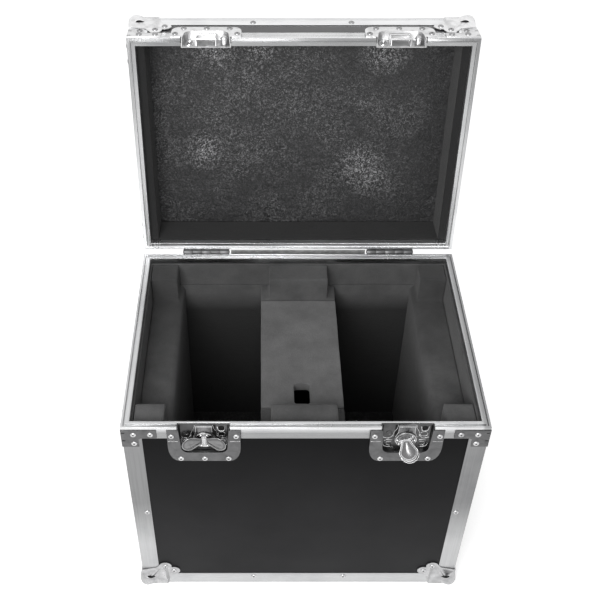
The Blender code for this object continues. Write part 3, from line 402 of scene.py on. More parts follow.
# Painted shade: dark finishes for the dimples' faces and for plates and slot faces set where gaps are in
# shade.
DIMPLE_SHADE = dark_plated("painted_dimple_shade", 0.015, 0.6)
GAP_SHADE = dark_plated("painted_gap_shade", 0.004, 0.7)

# Foams; the lid's sheet has painted glints round a few places, each with its reach

WELL_SHADE = (DOWNWARD, -0.376, -0.300, 0.95)
PAD_FOAM = foam("pad_foam", (0.074, 0.074, 0.0745), (0.130, 0.130, 0.1305),
                [WELL_SHADE, (REARWARD, -0.16, 0.08, 0.55)])
DIVIDER_FOAM = foam("divider_foam", (0.062, 0.062, 0.0625), (0.108, 0.108, 0.1085), [WELL_SHADE])
COVER_FOAM = foam("cover_foam", (0.140, 0.140, 0.1405), (0.200, 0.200, 0.2005), [WELL_SHADE])
LINING_FOAM = foam("lining_foam", (0.070, 0.070, 0.0704), (0.108, 0.108, 0.1085),
                   [(DOWNWARD, -0.362, -0.318, 0.95)])
LID_LINING_FOAM = foam("lid_lining_foam", (0.009, 0.009, 0.0092), (0.015, 0.015, 0.0153))
# Painted shade: the well floors' foam is darkened to less than half.
FLOOR_FOAM = crinkled("floor_foam", (), 0.45)
SHEET_FOAM = crinkled("lid_sheet_foam", (((0.125, 0.221, 0.545), 0.050), ((0.108, 0.224, 0.570), 0.060),
                                         ((-0.140, 0.249, 0.784), 0.050), ((-0.070, 0.249, 0.790), 0.040),
                                         ((0.137, 0.249, 0.781), 0.050), ((-0.165, 0.235, 0.600), 0.050)))


# Modelling by hand: small tools

def pick_only(piece):
    if bpy.context.mode != "OBJECT":
        bpy.ops.object.mode_set(mode="OBJECT")
    bpy.ops.object.select_all(action="DESELECT")
    piece.select_set(True)
    bpy.context.view_layer.objects.active = piece


def open_mesh(piece, action="SELECT"):
    """Into edit mode, with all of the piece selected or none of it."""
    pick_only(piece)
    bpy.ops.object.mode_set(mode="EDIT")
    bpy.ops.mesh.select_all(action=action)


def modify(piece, kind, **settings):
    """Add a modifier and apply it."""
    pick_only(piece)
    step = piece.modifiers.new(kind.lower(), kind)
    for setting, value in settings.items():
        setattr(step, setting, value)
    bpy.ops.object.modifier_apply(modifier=step.name)


def settle(piece, name):
    """Name a fresh primitive and put its place into its mesh."""
    piece.name = name
    pick_only(piece)
    bpy.ops.object.transform_apply(location=True, rotation=True, scale=True)
    return piece


def block(name, one, other):
    """A block between two opposite corners."""
    bpy.ops.object.select_all(action="DESELECT")
    low, high = (Vector([pick(pair) for pair in zip(one, other)]) for pick in (min, max))
    bpy.ops.mesh.primitive_cube_add(size=1, location=(low + high) / 2)
    piece = bpy.context.object
    piece.scale = high - low
    return settle(piece, name)


def carve(piece, cutter, kind="DIFFERENCE", keep_finish=False):
    """Cut a piece with another, or join them; the cut faces may keep the cutter's finish."""
    mode = "TRANSFER" if keep_finish else "INDEX"
    modify(piece, "BOOLEAN", operation=kind, solver="EXACT", material_mode=mode, object=cutter)
    bpy.data.objects.remove(cutter)


def copy_of_node(node, name):
    """A CAD piece's own shape, its loose triangles merged, to be worked on."""
    piece = bpy.data.objects.new(name, frame["nodes"][node].data.copy())
    bpy.context.scene.collection.objects.link(piece)
    piece.data.materials.clear()
    open_mesh(piece)
    bpy.ops.mesh.remove_doubles(threshold=0.00001)
    bpy.ops.object.mode_set(mode="OBJECT")
    return piece


def merge_flats(piece):
    """One face again for each flat side of a CAD copy."""
    open_mesh(piece)
    bpy.ops.mesh.dissolve_limited(angle_limit=math.radians(0.6))
    bpy.ops.object.mode_set(mode="OBJECT")


def smooth(piece, angle=SMOOTH):
    pick_only(piece)
    bpy.ops.object.shade_smooth_by_angle(angle=angle)
    return piece


def fit(piece, finish, body, *nodes):
    """Give a finished piece its finish and body, and let it stand for its CAD nodes."""
    piece.data.materials.clear()
    piece.data.materials.append(finish)
    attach(piece, body)
    if nodes:
        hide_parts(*nodes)


# Where the lid turns, and its place when open

PIN = Vector((0, BASE_Y + 0.2018, 0.4433))
LID_OPEN = Matrix.Translation(PIN) @ Matrix.Rotation(math.radians(-96.5), 4, "X") @ Matrix.Translation(-PIN)


# Foam

def dented(piece, dents, level=1.0):
    """Waves and dents, pushed in from the surface, or out where the level is zero."""
    for size, depth in dents:
        texture = bpy.data.textures.new("clouds", "CLOUDS")
        texture.noise_scale = size
        modify(piece, "DISPLACE", texture=texture, strength=depth, mid_level=level, texture_coords="LOCAL")


def foam_block(node, name, body, finish, voxel):
    """A block cut from thick foam: its edges a little soft, its faces not quite flat."""
    piece = copy_of_node(node, name)
    modify(piece, "REMESH", mode="VOXEL", voxel_size=voxel)
    modify(piece, "SMOOTH", factor=0.5, iterations=2)
    dented(piece, ((0.07, 0.0012), (0.012, 0.0004)))
    fit(smooth(piece, SOFT), finish, body, node)


def foam_sheet(name, size, step, thick, matrix, dents, level=0.0):
    """A sheet with a fine grid, laid by the matrix: its face looks along the matrix's Z from its origin."""
    bpy.ops.object.select_all(action="DESELECT")
    cuts = [max(2, round(length / step)) for length in size]
    bpy.ops.mesh.primitive_grid_add(x_subdivisions=cuts[0], y_subdivisions=cuts[1], size=1)
    piece = bpy.context.object
    piece.scale = (*size, 1)
    settle(piece, name)
    dented(piece, dents, level)
    modify(piece, "SOLIDIFY", thickness=thick, offset=-1)
    piece.matrix_world = matrix
    return settle(piece, name)


def facing(out, across, origin):
    """Matrix whose Z is out and X is across, at the origin."""
    out, across = Vector(out), Vector(across)
    matrix = Matrix((across, out.cross(across), out)).transposed().to_4x4()
    matrix.translation = Vector(origin)
    return matrix


for word in ("left", "right"):
    foam_block(f"side_pad_{word}", f"pad_{word}", "base", PAD_FOAM, 0.0026)
foam_block("divider_box", "divider_foam", "base", DIVIDER_FOAM, 0.0030)
foam_block("cable_box_cover", "divider_cover", "cable_cover", COVER_FOAM, 0.0022)

# The inner walls, the lining's thickness, foot and top, and the floor foam's face
WALL_X, WALL_Y, WALL_FOAM = 0.2634, 0.1849, 0.003
TRAY_FOOT, TRAY_TOP, TRAY_FLOOR = 0.0176, 0.4307, 0.0256
SEAM_FOOT, SEAM_TOP = 0.3824, 0.3838
HANDLE_HALF, HANDLE_FOOT, HANDLE_TOP = 0.0633, 0.2147, 0.2973

middle = (TRAY_FOOT + TRAY_TOP) / 2
tall = TRAY_TOP - TRAY_FOOT
LININGS = (
    ("front", (2 * WALL_X, tall), (0, 1, 0), (-1, 0, 0), (0, BASE_Y - WALL_Y + WALL_FOAM, middle)),
    ("rear", (2 * WALL_X, tall), (0, -1, 0), (1, 0, 0), (0, BASE_Y + WALL_Y - WALL_FOAM, middle)),
    ("left", (2 * WALL_Y, tall), (1, 0, 0), (0, 1, 0), (-WALL_X + WALL_FOAM, BASE_Y, middle)),
    ("right", (2 * WALL_Y, tall), (-1, 0, 0), (0, -1, 0), (WALL_X - WALL_FOAM, BASE_Y, middle)),
)
for word, size, out, across, origin in LININGS:
    sheet = foam_sheet(f"lining_{word}", (size[0] - 0.001, size[1]), 0.006, WALL_FOAM - 0.0002,
                       facing(out, across, origin), ((0.08, 0.0010), (0.02, 0.0003)))
    if word == "rear":
        face = BASE_Y + WALL_Y - WALL_FOAM
        carve(sheet, block("seam", (-0.25, face - 0.001, SEAM_FOOT), (0.25, face + 0.0012, SEAM_TOP)))
    if word in ("left", "right"):
        side = math.copysign(1, origin[0])
        carve(sheet, block("window", (side * 0.255, BASE_Y - HANDLE_HALF, HANDLE_FOOT),
                           (side * 0.270, BASE_Y + HANDLE_HALF, HANDLE_TOP)))
    fit(smooth(sheet), LINING_FOAM, "base", "foam_tray")
floor_sheet = foam_sheet("floor_foam", (2 * WALL_X - 0.007, 2 * WALL_Y - 0.007), 0.0026, 0.0055,
                         facing((0, 0, 1), (1, 0, 0), (0, BASE_Y, TRAY_FLOOR)),
                         ((0.016, 0.0016), (0.006, 0.0008), (0.045, 0.0010)), 1.0)
fit(smooth(floor_sheet, SOFT), FLOOR_FOAM, "base", "foam_tray")


# The lid's foam, drawn with the lid shut

SHEET_LOW, LID_LINING_FOOT = 0.5135, 0.4559
LID_WALL_X, LID_WALL_Y, LID_SIDE_LONG = 0.0130, 0.0021, 2 * WALL_Y - 0.005
KEEPER_HALF, KEEPER_WINDOW_TOP = 0.0393, 0.4744
LID_MIDDLE, LID_TALL = (SHEET_LOW + LID_LINING_FOOT) / 2, SHEET_LOW - LID_LINING_FOOT
lid_sheet = foam_sheet("lid_sheet", (2 * WALL_X - 0.001, 2 * WALL_Y - 0.001), 0.0024, 0.006,
                       LID_OPEN @ facing((0, 0, -1), (-1, 0, 0), (0, BASE_Y, SHEET_LOW)),
                       ((0.030, 0.0018), (0.009, 0.0008), (0.09, 0.0030)), 1.0)
fit(smooth(lid_sheet, SOFT), SHEET_FOAM, "lid", "lid_foam")
LID_LININGS = (
    ("front", 2 * WALL_X, LID_WALL_Y, (0, 1, 0), (-1, 0, 0), (0, BASE_Y - WALL_Y + LID_WALL_Y, LID_MIDDLE)),
    ("rear", 2 * WALL_X, LID_WALL_Y, (0, -1, 0), (1, 0, 0), (0, BASE_Y + WALL_Y - LID_WALL_Y, LID_MIDDLE)),
    ("left", LID_SIDE_LONG, LID_WALL_X, (1, 0, 0), (0, 1, 0), (-WALL_X + LID_WALL_X, BASE_Y, LID_MIDDLE)),
    ("right", LID_SIDE_LONG, LID_WALL_X, (-1, 0, 0), (0, -1, 0), (WALL_X - LID_WALL_X, BASE_Y, LID_MIDDLE)),
)
for word, long, thick, out, across, origin in LID_LININGS:
    lining = foam_sheet(f"lid_lining_{word}", (long - 0.001, LID_TALL), 0.004, thick - 0.0002,
                        facing(out, across, origin), ((0.08, 0.0008), (0.02, 0.0002)))
    if word == "front":
        for side in (-1, 1):
            carve(lining, block("window", (side * LATCH_X - KEEPER_HALF, BASE_Y - 0.20, 0.44),
                                (side * LATCH_X + KEEPER_HALF, BASE_Y - 0.175, KEEPER_WINDOW_TOP)))
    lining.data.transform(LID_OPEN)
    fit(smooth(lining), LID_LINING_FOAM, "lid", "lid_foam")


# Rivets: a domed head with a drawn-in centre, set on every head of the CAD model

# How far the angles' faces lie inside the case's outline, and the plates' faces outside it
LIP, PROUD = 0.0008, 0.0007
CORNERS = [(side_x, side_y) for side_x in (-1, 1) for side_y in (-1, 1)]
RIVET_FOOT = 0.0048
RIVET_STEPS = ((0.0007, 0.00475), (0.0015, 0.0043), (0.0020, 0.0036), (0.0022, 0.0029), (0.0021, 0.0022),
               (0.0019, 0.0016))


def stepped(radius, steps, sides):
    """A disc drawn up to each height and radius."""
    bpy.ops.object.select_all(action="DESELECT")
    bpy.ops.mesh.primitive_circle_add(vertices=sides, radius=radius, fill_type="NGON")
    piece = bpy.context.object
    open_mesh(piece)
    height = 0.0
    for next_height, next_radius in steps:
        bpy.ops.mesh.extrude_region_move(TRANSFORM_OT_translate={"value": (0, 0, next_height - height)})
        share = next_radius / radius
        bpy.ops.transform.resize(value=(share, share, 1), center_override=(0, 0, next_height))
        height, radius = next_height, next_radius
    bpy.ops.object.mode_set(mode="OBJECT")
    return piece


def rivet_head(metal):
    head = stepped(RIVET_FOOT, RIVET_STEPS, 20)
    head.data.materials.append(metal)
    head.data.materials.append(RIVET_CORE)
    top = max(head.data.polygons, key=lambda face: face.center.z if len(face.vertices) > 4 else 0)
    top.material_index = 1
    return head


def rivets(name, places, body, lid=False):
    """One piece of all the heads at these places; each is a foot and the way it looks."""
    head = rivet_head(LID_RIVET_METAL if lid else RIVET_METAL)
    heads = []
    for foot, out in places:
        turn = Vector(out).to_track_quat("Z", "Y").to_matrix().to_4x4()
        one = head.copy()
        one.data = head.data.copy()
        bpy.context.scene.collection.objects.link(one)
        matrix = Matrix.Translation(Vector(foot) - Vector(out) * 0.0001) @ turn
        one.data.transform(LID_OPEN @ matrix if lid else matrix)
        heads.append(one)
    bpy.data.objects.remove(head)
    pick_only(heads[0])
    for one in heads:
        one.select_set(True)
    bpy.ops.object.join()
    piece = bpy.context.object
    piece.name = name
    smooth(piece, math.radians(50))
    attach(piece, body)


def on_face(side_x, side_y, across, height, proud):
    """A place on one of the four upright faces; across runs to the right when that face is looked at."""
    reach = (HALF_W if side_x else HALF_D) + proud
    if side_x:
        return (side_x * reach, BASE_Y + side_x * across, height), (side_x, 0, 0)
    return (-side_y * across, BASE_Y + side_y * reach, height), (0, side_y, 0)


FACES = ((0, -1), (0, 1), (-1, 0), (1, 0))

# The angles' rivets: in from the case's edge and up a post, and across and up an edge
POST_IN, POST_UP = 0.023, 0.2185
EDGE_ACROSS, EDGE_UP = 0.079, 0.0213


def post_rivets():
    places = []
    for side_x, side_y in FACES:
        reach = HALF_D if side_x else HALF_W
        for side in (-1, 1):
            places.append(on_face(side_x, side_y, side * (reach - POST_IN), FLOOR + POST_UP, -LIP))
    return places


def edge_rivets(level):
    return [on_face(side_x, side_y, side * EDGE_ACROSS, level, -LIP)
            for side_x, side_y in FACES for side in (-1, 1)]


def brace_rivets(rim, upward, low):
    """Three rivets in each leaf of the four braces, down from a rim."""
    places = []
    for side_x, side_y in FACES:
        reach = HALF_D if side_x else HALF_W
        for side in (-1, 1):
            for near, down in ((0.0182, 0.0155), (0.0434, 0.0155), (0.0182, low)):
                places.append(on_face(side_x, side_y, side * (reach - near), rim + upward * down, PROUD))
    return places


def corner_rivets(height, upward):
    """Two rivets in each of the three flanges of the four ball corners."""
    places = []
    for side_x, side_y in CORNERS:
        for near, far in ((0.0418, 0.0559), (0.0559, 0.0418)):
            place_x, place_y = side_x * (HALF_W - near), BASE_Y + side_y * (HALF_D - near)
            level = height + upward * far
            places.append(((place_x, BASE_Y + side_y * (HALF_D + PROUD), level), (0, side_y, 0)))
            places.append(((side_x * (HALF_W + PROUD), place_y, level), (side_x, 0, 0)))
            flat = (place_x, BASE_Y + side_y * (HALF_D - far), height - upward * PROUD)
            places.append((flat, (0, 0, -upward)))
    return places


def plate_rivets(rim, upward, ends, row):
    """Two rivets at the ends and three in a row on the plates of both latches or keepers."""
    places = []
    for side in (-1, 1):
        for across, down in ((-0.0485, ends), (0.0485, ends), (-0.0364, row), (0, row), (0.0364, row)):
            places.append(on_face(0, -1, side * LATCH_X + across, rim + upward * down, PROUD))
    return places


def handle_rivets():
    return [on_face(side_x, 0, across, FLOOR + 0.250 + up, PROUD)
            for side_x in (-1, 1) for across in (-0.069, 0.069) for up in (-0.048, 0.048)]


rivets("frame_rivets", post_rivets() + edge_rivets(FLOOR + EDGE_UP), "base")
rivets("lid_frame_rivets", edge_rivets(LID_TOP - EDGE_UP), "lid", True)
rivets("handle_rivets", handle_rivets(), "base")
rivets("brace_rivets", brace_rivets(RIM, -1, 0.0361), "base")
rivets("lid_brace_rivets", brace_rivets(LID_RIM, 1, 0.0305), "lid", True)
rivets("corner_rivets", corner_rivets(FLOOR, 1), "base")
rivets("lid_corner_rivets", corner_rivets(LID_TOP, -1), "lid", True)
rivets("latch_plate_rivets", plate_rivets(RIM, -1, 0.0195, 0.0730), "base")
rivets("keeper_plate_rivets", plate_rivets(LID_RIM, 1, 0.0175, 0.040), "lid", True)


# Latches, drawn across, up and out from the middle of each latch at the rim's edge

# How far down the hub's axis is, and from it to the wings' pins; depths are below zero behind the board
HUB_DOWN, WING_FOLD = 0.0356, 0.0026
PAN_BACK, HUB_BACK, WING_AXIS = -0.0080, -0.0062, -0.0037
PAN_UNDER, PAN_OVER = PAN_BACK - 0.0002, PAN_BACK + 0.0002
PAN_RAISED = PAN_BACK + 0.0003


def latch_place(side, level):
    """From across, up and out to the frame, with the lid shut."""
    place = Matrix(((1, 0, 0), (0, 0, -1), (0, 1, 0))).to_4x4()
    place.translation = (side * LATCH_X, FRONT, level)
    return place


def turned(name, finish, foot, radius, steps, sides):
    """A round piece on its foot, stepped up to each height and radius."""
    piece = stepped(radius, steps, sides)
    piece.data.materials.append(finish)
    piece.location = foot
    return settle(piece, name)


def bead(finish, radius, points, closed=False):
    """A round bead pressed up along these points."""
    line = bpy.data.curves.new("bead", "CURVE")
    line.dimensions = "3D"
    line.bevel_depth = radius
    line.bevel_resolution = 2
    line.use_fill_caps = True
    run = line.splines.new("NURBS")
    run.points.add(len(points) - 1)
    for point, place in zip(run.points, points):
        point.co = (*place, 1)
    run.order_u = 3
    run.resolution_u = 5
    run.use_endpoint_u = not closed
    run.use_cyclic_u = closed
    piece = bpy.data.objects.new("bead", line)
    bpy.context.scene.collection.objects.link(piece)
    pick_only(piece)
    bpy.ops.object.convert(target="MESH")
    piece = bpy.context.object
    piece.data.materials.clear()
    piece.data.materials.append(finish)
    return piece


def plate(finish, one, other, edge=0.0003):
    """A small flat piece between two corners, with broken edges."""
    piece = block("plate", one, other)
    piece.data.materials.append(finish)
    if edge:
        modify(piece, "BEVEL", width=edge, segments=2, limit_method="NONE")
    return piece


def together(name, pieces, matrix, body, *nodes):
    """Small pieces joined as one, put in place, on their body."""
    pick_only(pieces[0])
    for piece in pieces:
        piece.select_set(True)
    bpy.ops.object.join()
    piece = bpy.context.object
    piece.name = name
    piece.data.transform(matrix)
    smooth(piece)
    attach(piece, body)
    if nodes:
        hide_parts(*nodes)


def at_depth(points, out, flip=1):
    """Points across and up, all at one depth; a flip of -1 mirrors them."""
    return [(flip * across, up, out) for across, up in points]


def ring(radius, count, out, across=0.0, up=0.0):
    """Points round a circle."""
    turns = [2 * math.pi * step / count for step in range(count)]
    return [(across + radius * math.cos(turn), up + radius * math.sin(turn), out) for turn in turns]


def mm(*pairs):
    """Points across and up, given in millimetres."""
    return [(across / 1000, up / 1000) for across, up in pairs]


SOCKET = mm((20.6, -5), (20.8, -11), (23, -15.2), (26.4, -16.4), (29.8, -15.2), (32, -11), (32.2, -5))
POCKET_FRAME = mm((21, -19), (32, -19), (32, -29), (21, -29))
POCKETS = (
    mm((20.5, -38), (28, -36.5), (33.5, -41), (34.2, -49), (30, -54.5), (22, -55)),
    mm((21.5, -42), (27, -41), (29.6, -45), (28.5, -49.5), (23, -51)),
    mm((19.5, -25), (22.5, -33), (30, -34.5), (35, -31)),
)
SHOULDERS = (
    mm((-13.5, -3), (-14.5, -12), (-19.6, -19), (-19.6, -30)),
    mm((13.5, -3), (14.5, -12), (19.6, -19), (19.6, -30)),
)

# Round pressings, as heights and radii, and where the painted gap shade ends under the rim
PIP_STEPS = ((0.0008, 0.0021), (0.0014, 0.0015), (0.0016, 0.0008))
DIMPLE_STEPS = ((0.0008, 0.0044), (0.0009, 0.0038), (0.0004, 0.0032))
SMALL_RIVET_STEPS = ((0.0007, 0.0025), (0.0011, 0.0018), (0.0008, 0.0012))
GAP_SHADE_TOP = -0.0026


def latch_pressings(side, word):
    """What is pressed into a latch's pan and plate; its beads, pips and crease line are painted lighter as
    highlights, and dark plates and a dark disc are painted as the shade of its gaps, pockets and socket.
    """
    floor = PAN_BACK + 0.0001
    pieces = []
    for flip in (-1, 1):
        for run in POCKETS:
            pieces.append(bead(HIGHLIGHT_ZINC, 0.0006, at_depth(run, floor, flip)))
        pieces += [
            plate(PAN_SHADE_ZINC, (flip * 0.0212, -0.0530, PAN_UNDER), (flip * 0.0335, -0.0385, PAN_RAISED)),
            bead(HIGHLIGHT_ZINC, 0.00045, at_depth(((0.0392, -0.0318), (0.0540, -0.0318)), PROUD, flip)),
            turned("pip", HIGHLIGHT_ZINC, (flip * 0.0345, -0.0570, PAN_BACK), 0.0022, PIP_STEPS, 14),
            plate(GAP_SHADE, (flip * 0.0352, -0.0540, PAN_UNDER), (flip * 0.0371, GAP_SHADE_TOP, PAN_OVER), 0),
            plate(GAP_SHADE, (flip * 0.0380, -0.0066, 0.0002), (flip * 0.0394, GAP_SHADE_TOP, PROUD + 0.0001), 0),
        ]
    for run in SHOULDERS:
        pieces.append(bead(HIGHLIGHT_ZINC, 0.0005, at_depth(run, floor)))
    pieces += [
        plate(GAP_SHADE, (-side * 0.0129, -0.0260, PAN_UNDER), (-side * 0.0180, GAP_SHADE_TOP, PAN_OVER), 0),
        bead(HIGHLIGHT_ZINC, 0.0009, at_depth(SOCKET, PAN_BACK + 0.0012)),
        turned("socket", GAP_SHADE, (0.0264, -0.0103, PAN_BACK - 0.0001), 0.0050, ((0.0004, 0.0048),), 24),
        bead(HIGHLIGHT_ZINC, 0.0005, at_depth(POCKET_FRAME, floor), True),
        turned("dimple", PAN_SHADE_ZINC, (-0.0262, -0.0215, PAN_BACK - 0.0001), 0.0046, DIMPLE_STEPS, 24),
    ]
    for across in (-0.0190, 0.0215):
        pieces.append(turned("small_rivet", LIGHTER_ZINC, (across, -0.0562, PAN_BACK), 0.0026,
                             SMALL_RIVET_STEPS, 16))
    together(f"latch_pressings_{word}", pieces, latch_place(side, RIM), "base")


DISC_STEPS = ((0.0009, 0.0170), (0.0014, 0.0164), (0.0015, 0.0150), (0.0009, 0.0143), (0.0008, 0.0118),
              (0.0014, 0.0110), (0.0015, 0.0100))
STUD_STEPS = ((0.0014, 0.0015), (0.0020, 0.0009))
LUG_BACK, LUG_FRONT = HUB_BACK + 0.0010, WING_AXIS + 0.0013


def hub_dressed(side, word, turn):
    """The hub's disc with its pressed rings, the block between the wings, their lugs, pins and studs."""
    # Painted highlight: all but the disc are in the lighter highlight zinc.
    pieces = [
        turned("disc", LIGHTER_ZINC, (0, 0, HUB_BACK), 0.0169, DISC_STEPS, 48),
        bead(HIGHLIGHT_ZINC, 0.0006, ring(0.0157, 16, HUB_BACK + 0.0013), True),
        plate(HIGHLIGHT_ZINC, (-0.0014, -0.0070, LUG_BACK), (0.0014, 0.0070, WING_AXIS + 0.0012), 0.0006),
    ]
    for end in (-1, 1):
        pin = [(end * WING_FOLD, along_pin, WING_AXIS) for along_pin in (-0.0104, 0, 0.0104)]
        pieces += [
            plate(HIGHLIGHT_ZINC, (-0.0037, end * 0.0076, LUG_BACK), (0.0037, end * 0.0098, LUG_FRONT),
                  0.0006),
            bead(HIGHLIGHT_ZINC, 0.0008, pin),
        ]
        for across in (-0.0046, 0.0046):
            pieces.append(turned("stud", HIGHLIGHT_ZINC, (across, end * 0.0122, HUB_BACK + 0.0008), 0.0016,
                                 STUD_STEPS, 14))
    matrix = latch_place(side, RIM) @ Matrix.Translation((0, -HUB_DOWN, 0)) @ Matrix.Rotation(turn, 4, "Z")
    together(f"latch_hub_{word}_dressed", pieces, matrix, f"hub_{word}", f"latch_hub_{word}")
    return matrix


# Each step of the wing's pressing: how far in, how deep, and which finish; the raised rim is painted
# lighter as highlight and the sunk ring darker as shade
WING_STEPS = ((0.0008, 0, 1), (0.0005, -0.00045, 2), (0.0022, 0, 2), (0.0005, 0.00045, 0))


def wing_dressed(word, half, letter, hub_matrix, fold):
    """A wing with a raised rim, a sunk ring and a raised middle, rolled round its pin."""
    node = f"latch_wing_{word}_{letter}"
    flip = Matrix.Rotation(0 if half > 0 else math.pi, 4, "Z")
    pin = Matrix.Translation((half * WING_FOLD, 0, WING_AXIS))
    matrix = hub_matrix @ pin @ flip @ Matrix.Rotation(-fold, 4, "Y")
    piece = copy_of_node(node, node + "_dressed")
    piece.data.transform(matrix.inverted())
    merge_flats(piece)
    for finish in (LIGHTER_ZINC, WING_EDGE_HIGHLIGHT_ZINC, ZINC):
        piece.data.materials.append(finish)
    for up in (1, -1):
        open_mesh(piece, "DESELECT")
        bpy.ops.object.mode_set(mode="OBJECT")
        face = max(piece.data.polygons, key=lambda one: one.area if one.normal.z * up > 0.9 else 0)
        face.select = True
        bpy.ops.object.mode_set(mode="EDIT")
        piece.active_material_index = 1
        bpy.ops.object.material_slot_assign()
        for width, depth, slot in WING_STEPS:
            bpy.ops.mesh.inset(thickness=width, depth=depth)
            piece.active_material_index = slot
            bpy.ops.object.material_slot_assign()
        bpy.ops.object.mode_set(mode="OBJECT")
    modify(piece, "BEVEL", width=0.0002, segments=1, limit_method="ANGLE", angle_limit=math.radians(50))
    # Painted highlight: the knuckle is in the lighter highlight zinc.
    knuckle = bead(HIGHLIGHT_ZINC, 0.0012, [(0, -0.0070, 0), (0, 0, 0), (0, 0.0070, 0)])
    together(node + "_dressed", [piece, knuckle], matrix, f"wing_{word}_{letter}", node)


def claw_dressed(side, word):
    """The claw's plate with a lip and two ribs that run up from the hub; the lip and the claw's edges are
    beads painted lighter as highlights.
    """
    node = f"latch_claw_{word}"
    piece = copy_of_node(node, node + "_dressed")
    place = latch_place(side, RIM)
    piece.data.transform(place.inverted())
    merge_flats(piece)
    modify(piece, "BEVEL", width=0.0003, segments=2, limit_method="ANGLE", angle_limit=math.radians(30))
    piece.data.materials.append(STEEL)
    top = max(vertex.co.y for vertex in piece.data.vertices)
    lip = [(across, top - 0.0008) for across in (-0.0124, 0, 0.0124)]
    pieces = [piece, bead(HIGHLIGHT_ZINC, 0.0009, at_depth(lip, -0.0026))]
    for flip in (-1, 1):
        edge = [(across, top + up) for across, up in mm((12.0, -3), (12.2, -16), (13.0, -22), (16.5, -30))]
        rib = ((0.0042, top - 0.0080), (0.0042, top - 0.0165))
        pieces.append(bead(HIGHLIGHT_ZINC, 0.0006, at_depth(edge, -0.0069, flip)))
        pieces.append(bead(LIGHTER_ZINC, 0.0007, at_depth(rib, -0.0070, flip)))
    together(node + "_dressed", pieces, place, f"claw_{word}", node)


# Each latch's side, the turn of its hub and the folds of its wings, in degrees
LATCHES = ((-1, "left", 0, 19, 19), (1, "right", -70, 128, 48))
for side, word, turn, fold_a, fold_b in LATCHES:
    latch_pressings(side, word)
    claw_dressed(side, word)
    hub_matrix = hub_dressed(side, word, math.radians(turn))
    wing_dressed(word, -1, "a", hub_matrix, math.radians(fold_a))
    wing_dressed(word, 1, "b", hub_matrix, math.radians(fold_b))


# Keepers in the lid: bars painted lighter as highlights, a ringed knob and a pocket beside the bridge

KEEPER_BACK, KEEPER_FRONT = -0.0143, -0.0030
KEEPER_UNDER, KEEPER_OVER = KEEPER_BACK - 0.0002, KEEPER_BACK + 0.0002
KEEPER_RAISED = KEEPER_BACK + 0.0003
WINDOW_X, WINDOW_ENDS = 0.0153, (0.0062, 0.0150, 0.0240)
KNOB_X, KNOB_UP = 0.0278, 0.0150
KNOB_STEPS = ((0.0007, 0.0044), (0.0012, 0.0036), (0.0009, 0.0026), (0.0009, 0.0012))
KEEPER_POCKETS = (
    mm((-21, 5), (-33, 5), (-34, 15), (-33, 25), (-21, 25), (-20, 15)),
    mm((-23, 10), (-30, 10), (-30, 20), (-23, 20)),
)


def keeper_pressings(side, word):
    """The frame of a keeper's window, its knob and its pocket; the bars, knob and rings are painted lighter
    as highlights, the backings darker as shade, and dark plates stand for the shade of the gaps beside the
    plate.
    """
    pieces = []
    for up in (0.0065, 0.0235):
        bar = [(across, up) for across in (-0.0150, 0, 0.0150)]
        pieces.append(bead(KEEPER_BAR_HIGHLIGHT_ZINC, 0.0010, at_depth(bar, KEEPER_FRONT)))
    for across in (-WINDOW_X, WINDOW_X):
        post = [(across, up) for up in WINDOW_ENDS]
        pieces.append(bead(KEEPER_BAR_HIGHLIGHT_ZINC, 0.0008, at_depth(post, KEEPER_FRONT)))
    pieces += [
        plate(KEEPER_BACK_SHADE_ZINC, (-0.0130, 0.0050, KEEPER_UNDER), (0.0130, 0.0240, KEEPER_RAISED), 0),
        bead(HIGHLIGHT_ZINC, 0.0008, ring(0.0056, 12, KEEPER_FRONT - 0.0030, KNOB_X, KNOB_UP), True),
        turned("knob", HIGHLIGHT_ZINC, (KNOB_X, KNOB_UP, KEEPER_FRONT - 0.0005), 0.0044, KNOB_STEPS, 24),
        plate(KEEPER_BACK_SHADE_ZINC, (0.0210, 0.0050, KEEPER_UNDER), (0.0355, 0.0255, KEEPER_OVER), 0),
    ]
    for run in KEEPER_POCKETS:
        pieces.append(bead(HIGHLIGHT_ZINC, 0.0007, at_depth(run, KEEPER_BACK + 0.0004), True))
    pieces.append(plate(KEEPER_BACK_SHADE_ZINC, (-0.0300, 0.0080, KEEPER_UNDER),
                        (-0.0225, 0.0220, KEEPER_RAISED)))
    for flip in (-1, 1):
        pieces.append(plate(GAP_SHADE, (flip * 0.0380, 0.0008, -0.0080),
                            (flip * 0.0398, 0.0056, PROUD + 0.0001), 0))
    together(f"keeper_pressings_{word}", pieces, LID_OPEN @ latch_place(side, LID_RIM), "lid")


for side, word in SIDES:
    keeper_pressings(side, word)


# Ball corners: the pressed ball with an eye-shaped dimple by each flange, painted dark inside as shade

BALL_IN, BALL_RADIUS = 0.0100, 0.0164
EYE_NEAR, EYE_FAR, EYE_DEEP = 0.0145, 0.0215, 0.001


def ball(place):
    bpy.ops.object.select_all(action="DESELECT")
    bpy.ops.mesh.primitive_uv_sphere_add(segments=48, ring_count=28, radius=BALL_RADIUS, location=place)
    return settle(bpy.context.object, "ball")


def eye(place, size):
    """A lens-shaped cutter whose cut faces take a painted shade."""
    bpy.ops.object.select_all(action="DESELECT")
    bpy.ops.mesh.primitive_uv_sphere_add(segments=24, ring_count=12, radius=1, location=place)
    cutter = bpy.context.object
    cutter.scale = size
    settle(cutter, "eye")
    cutter.data.materials.append(DIMPLE_SHADE)
    return cutter


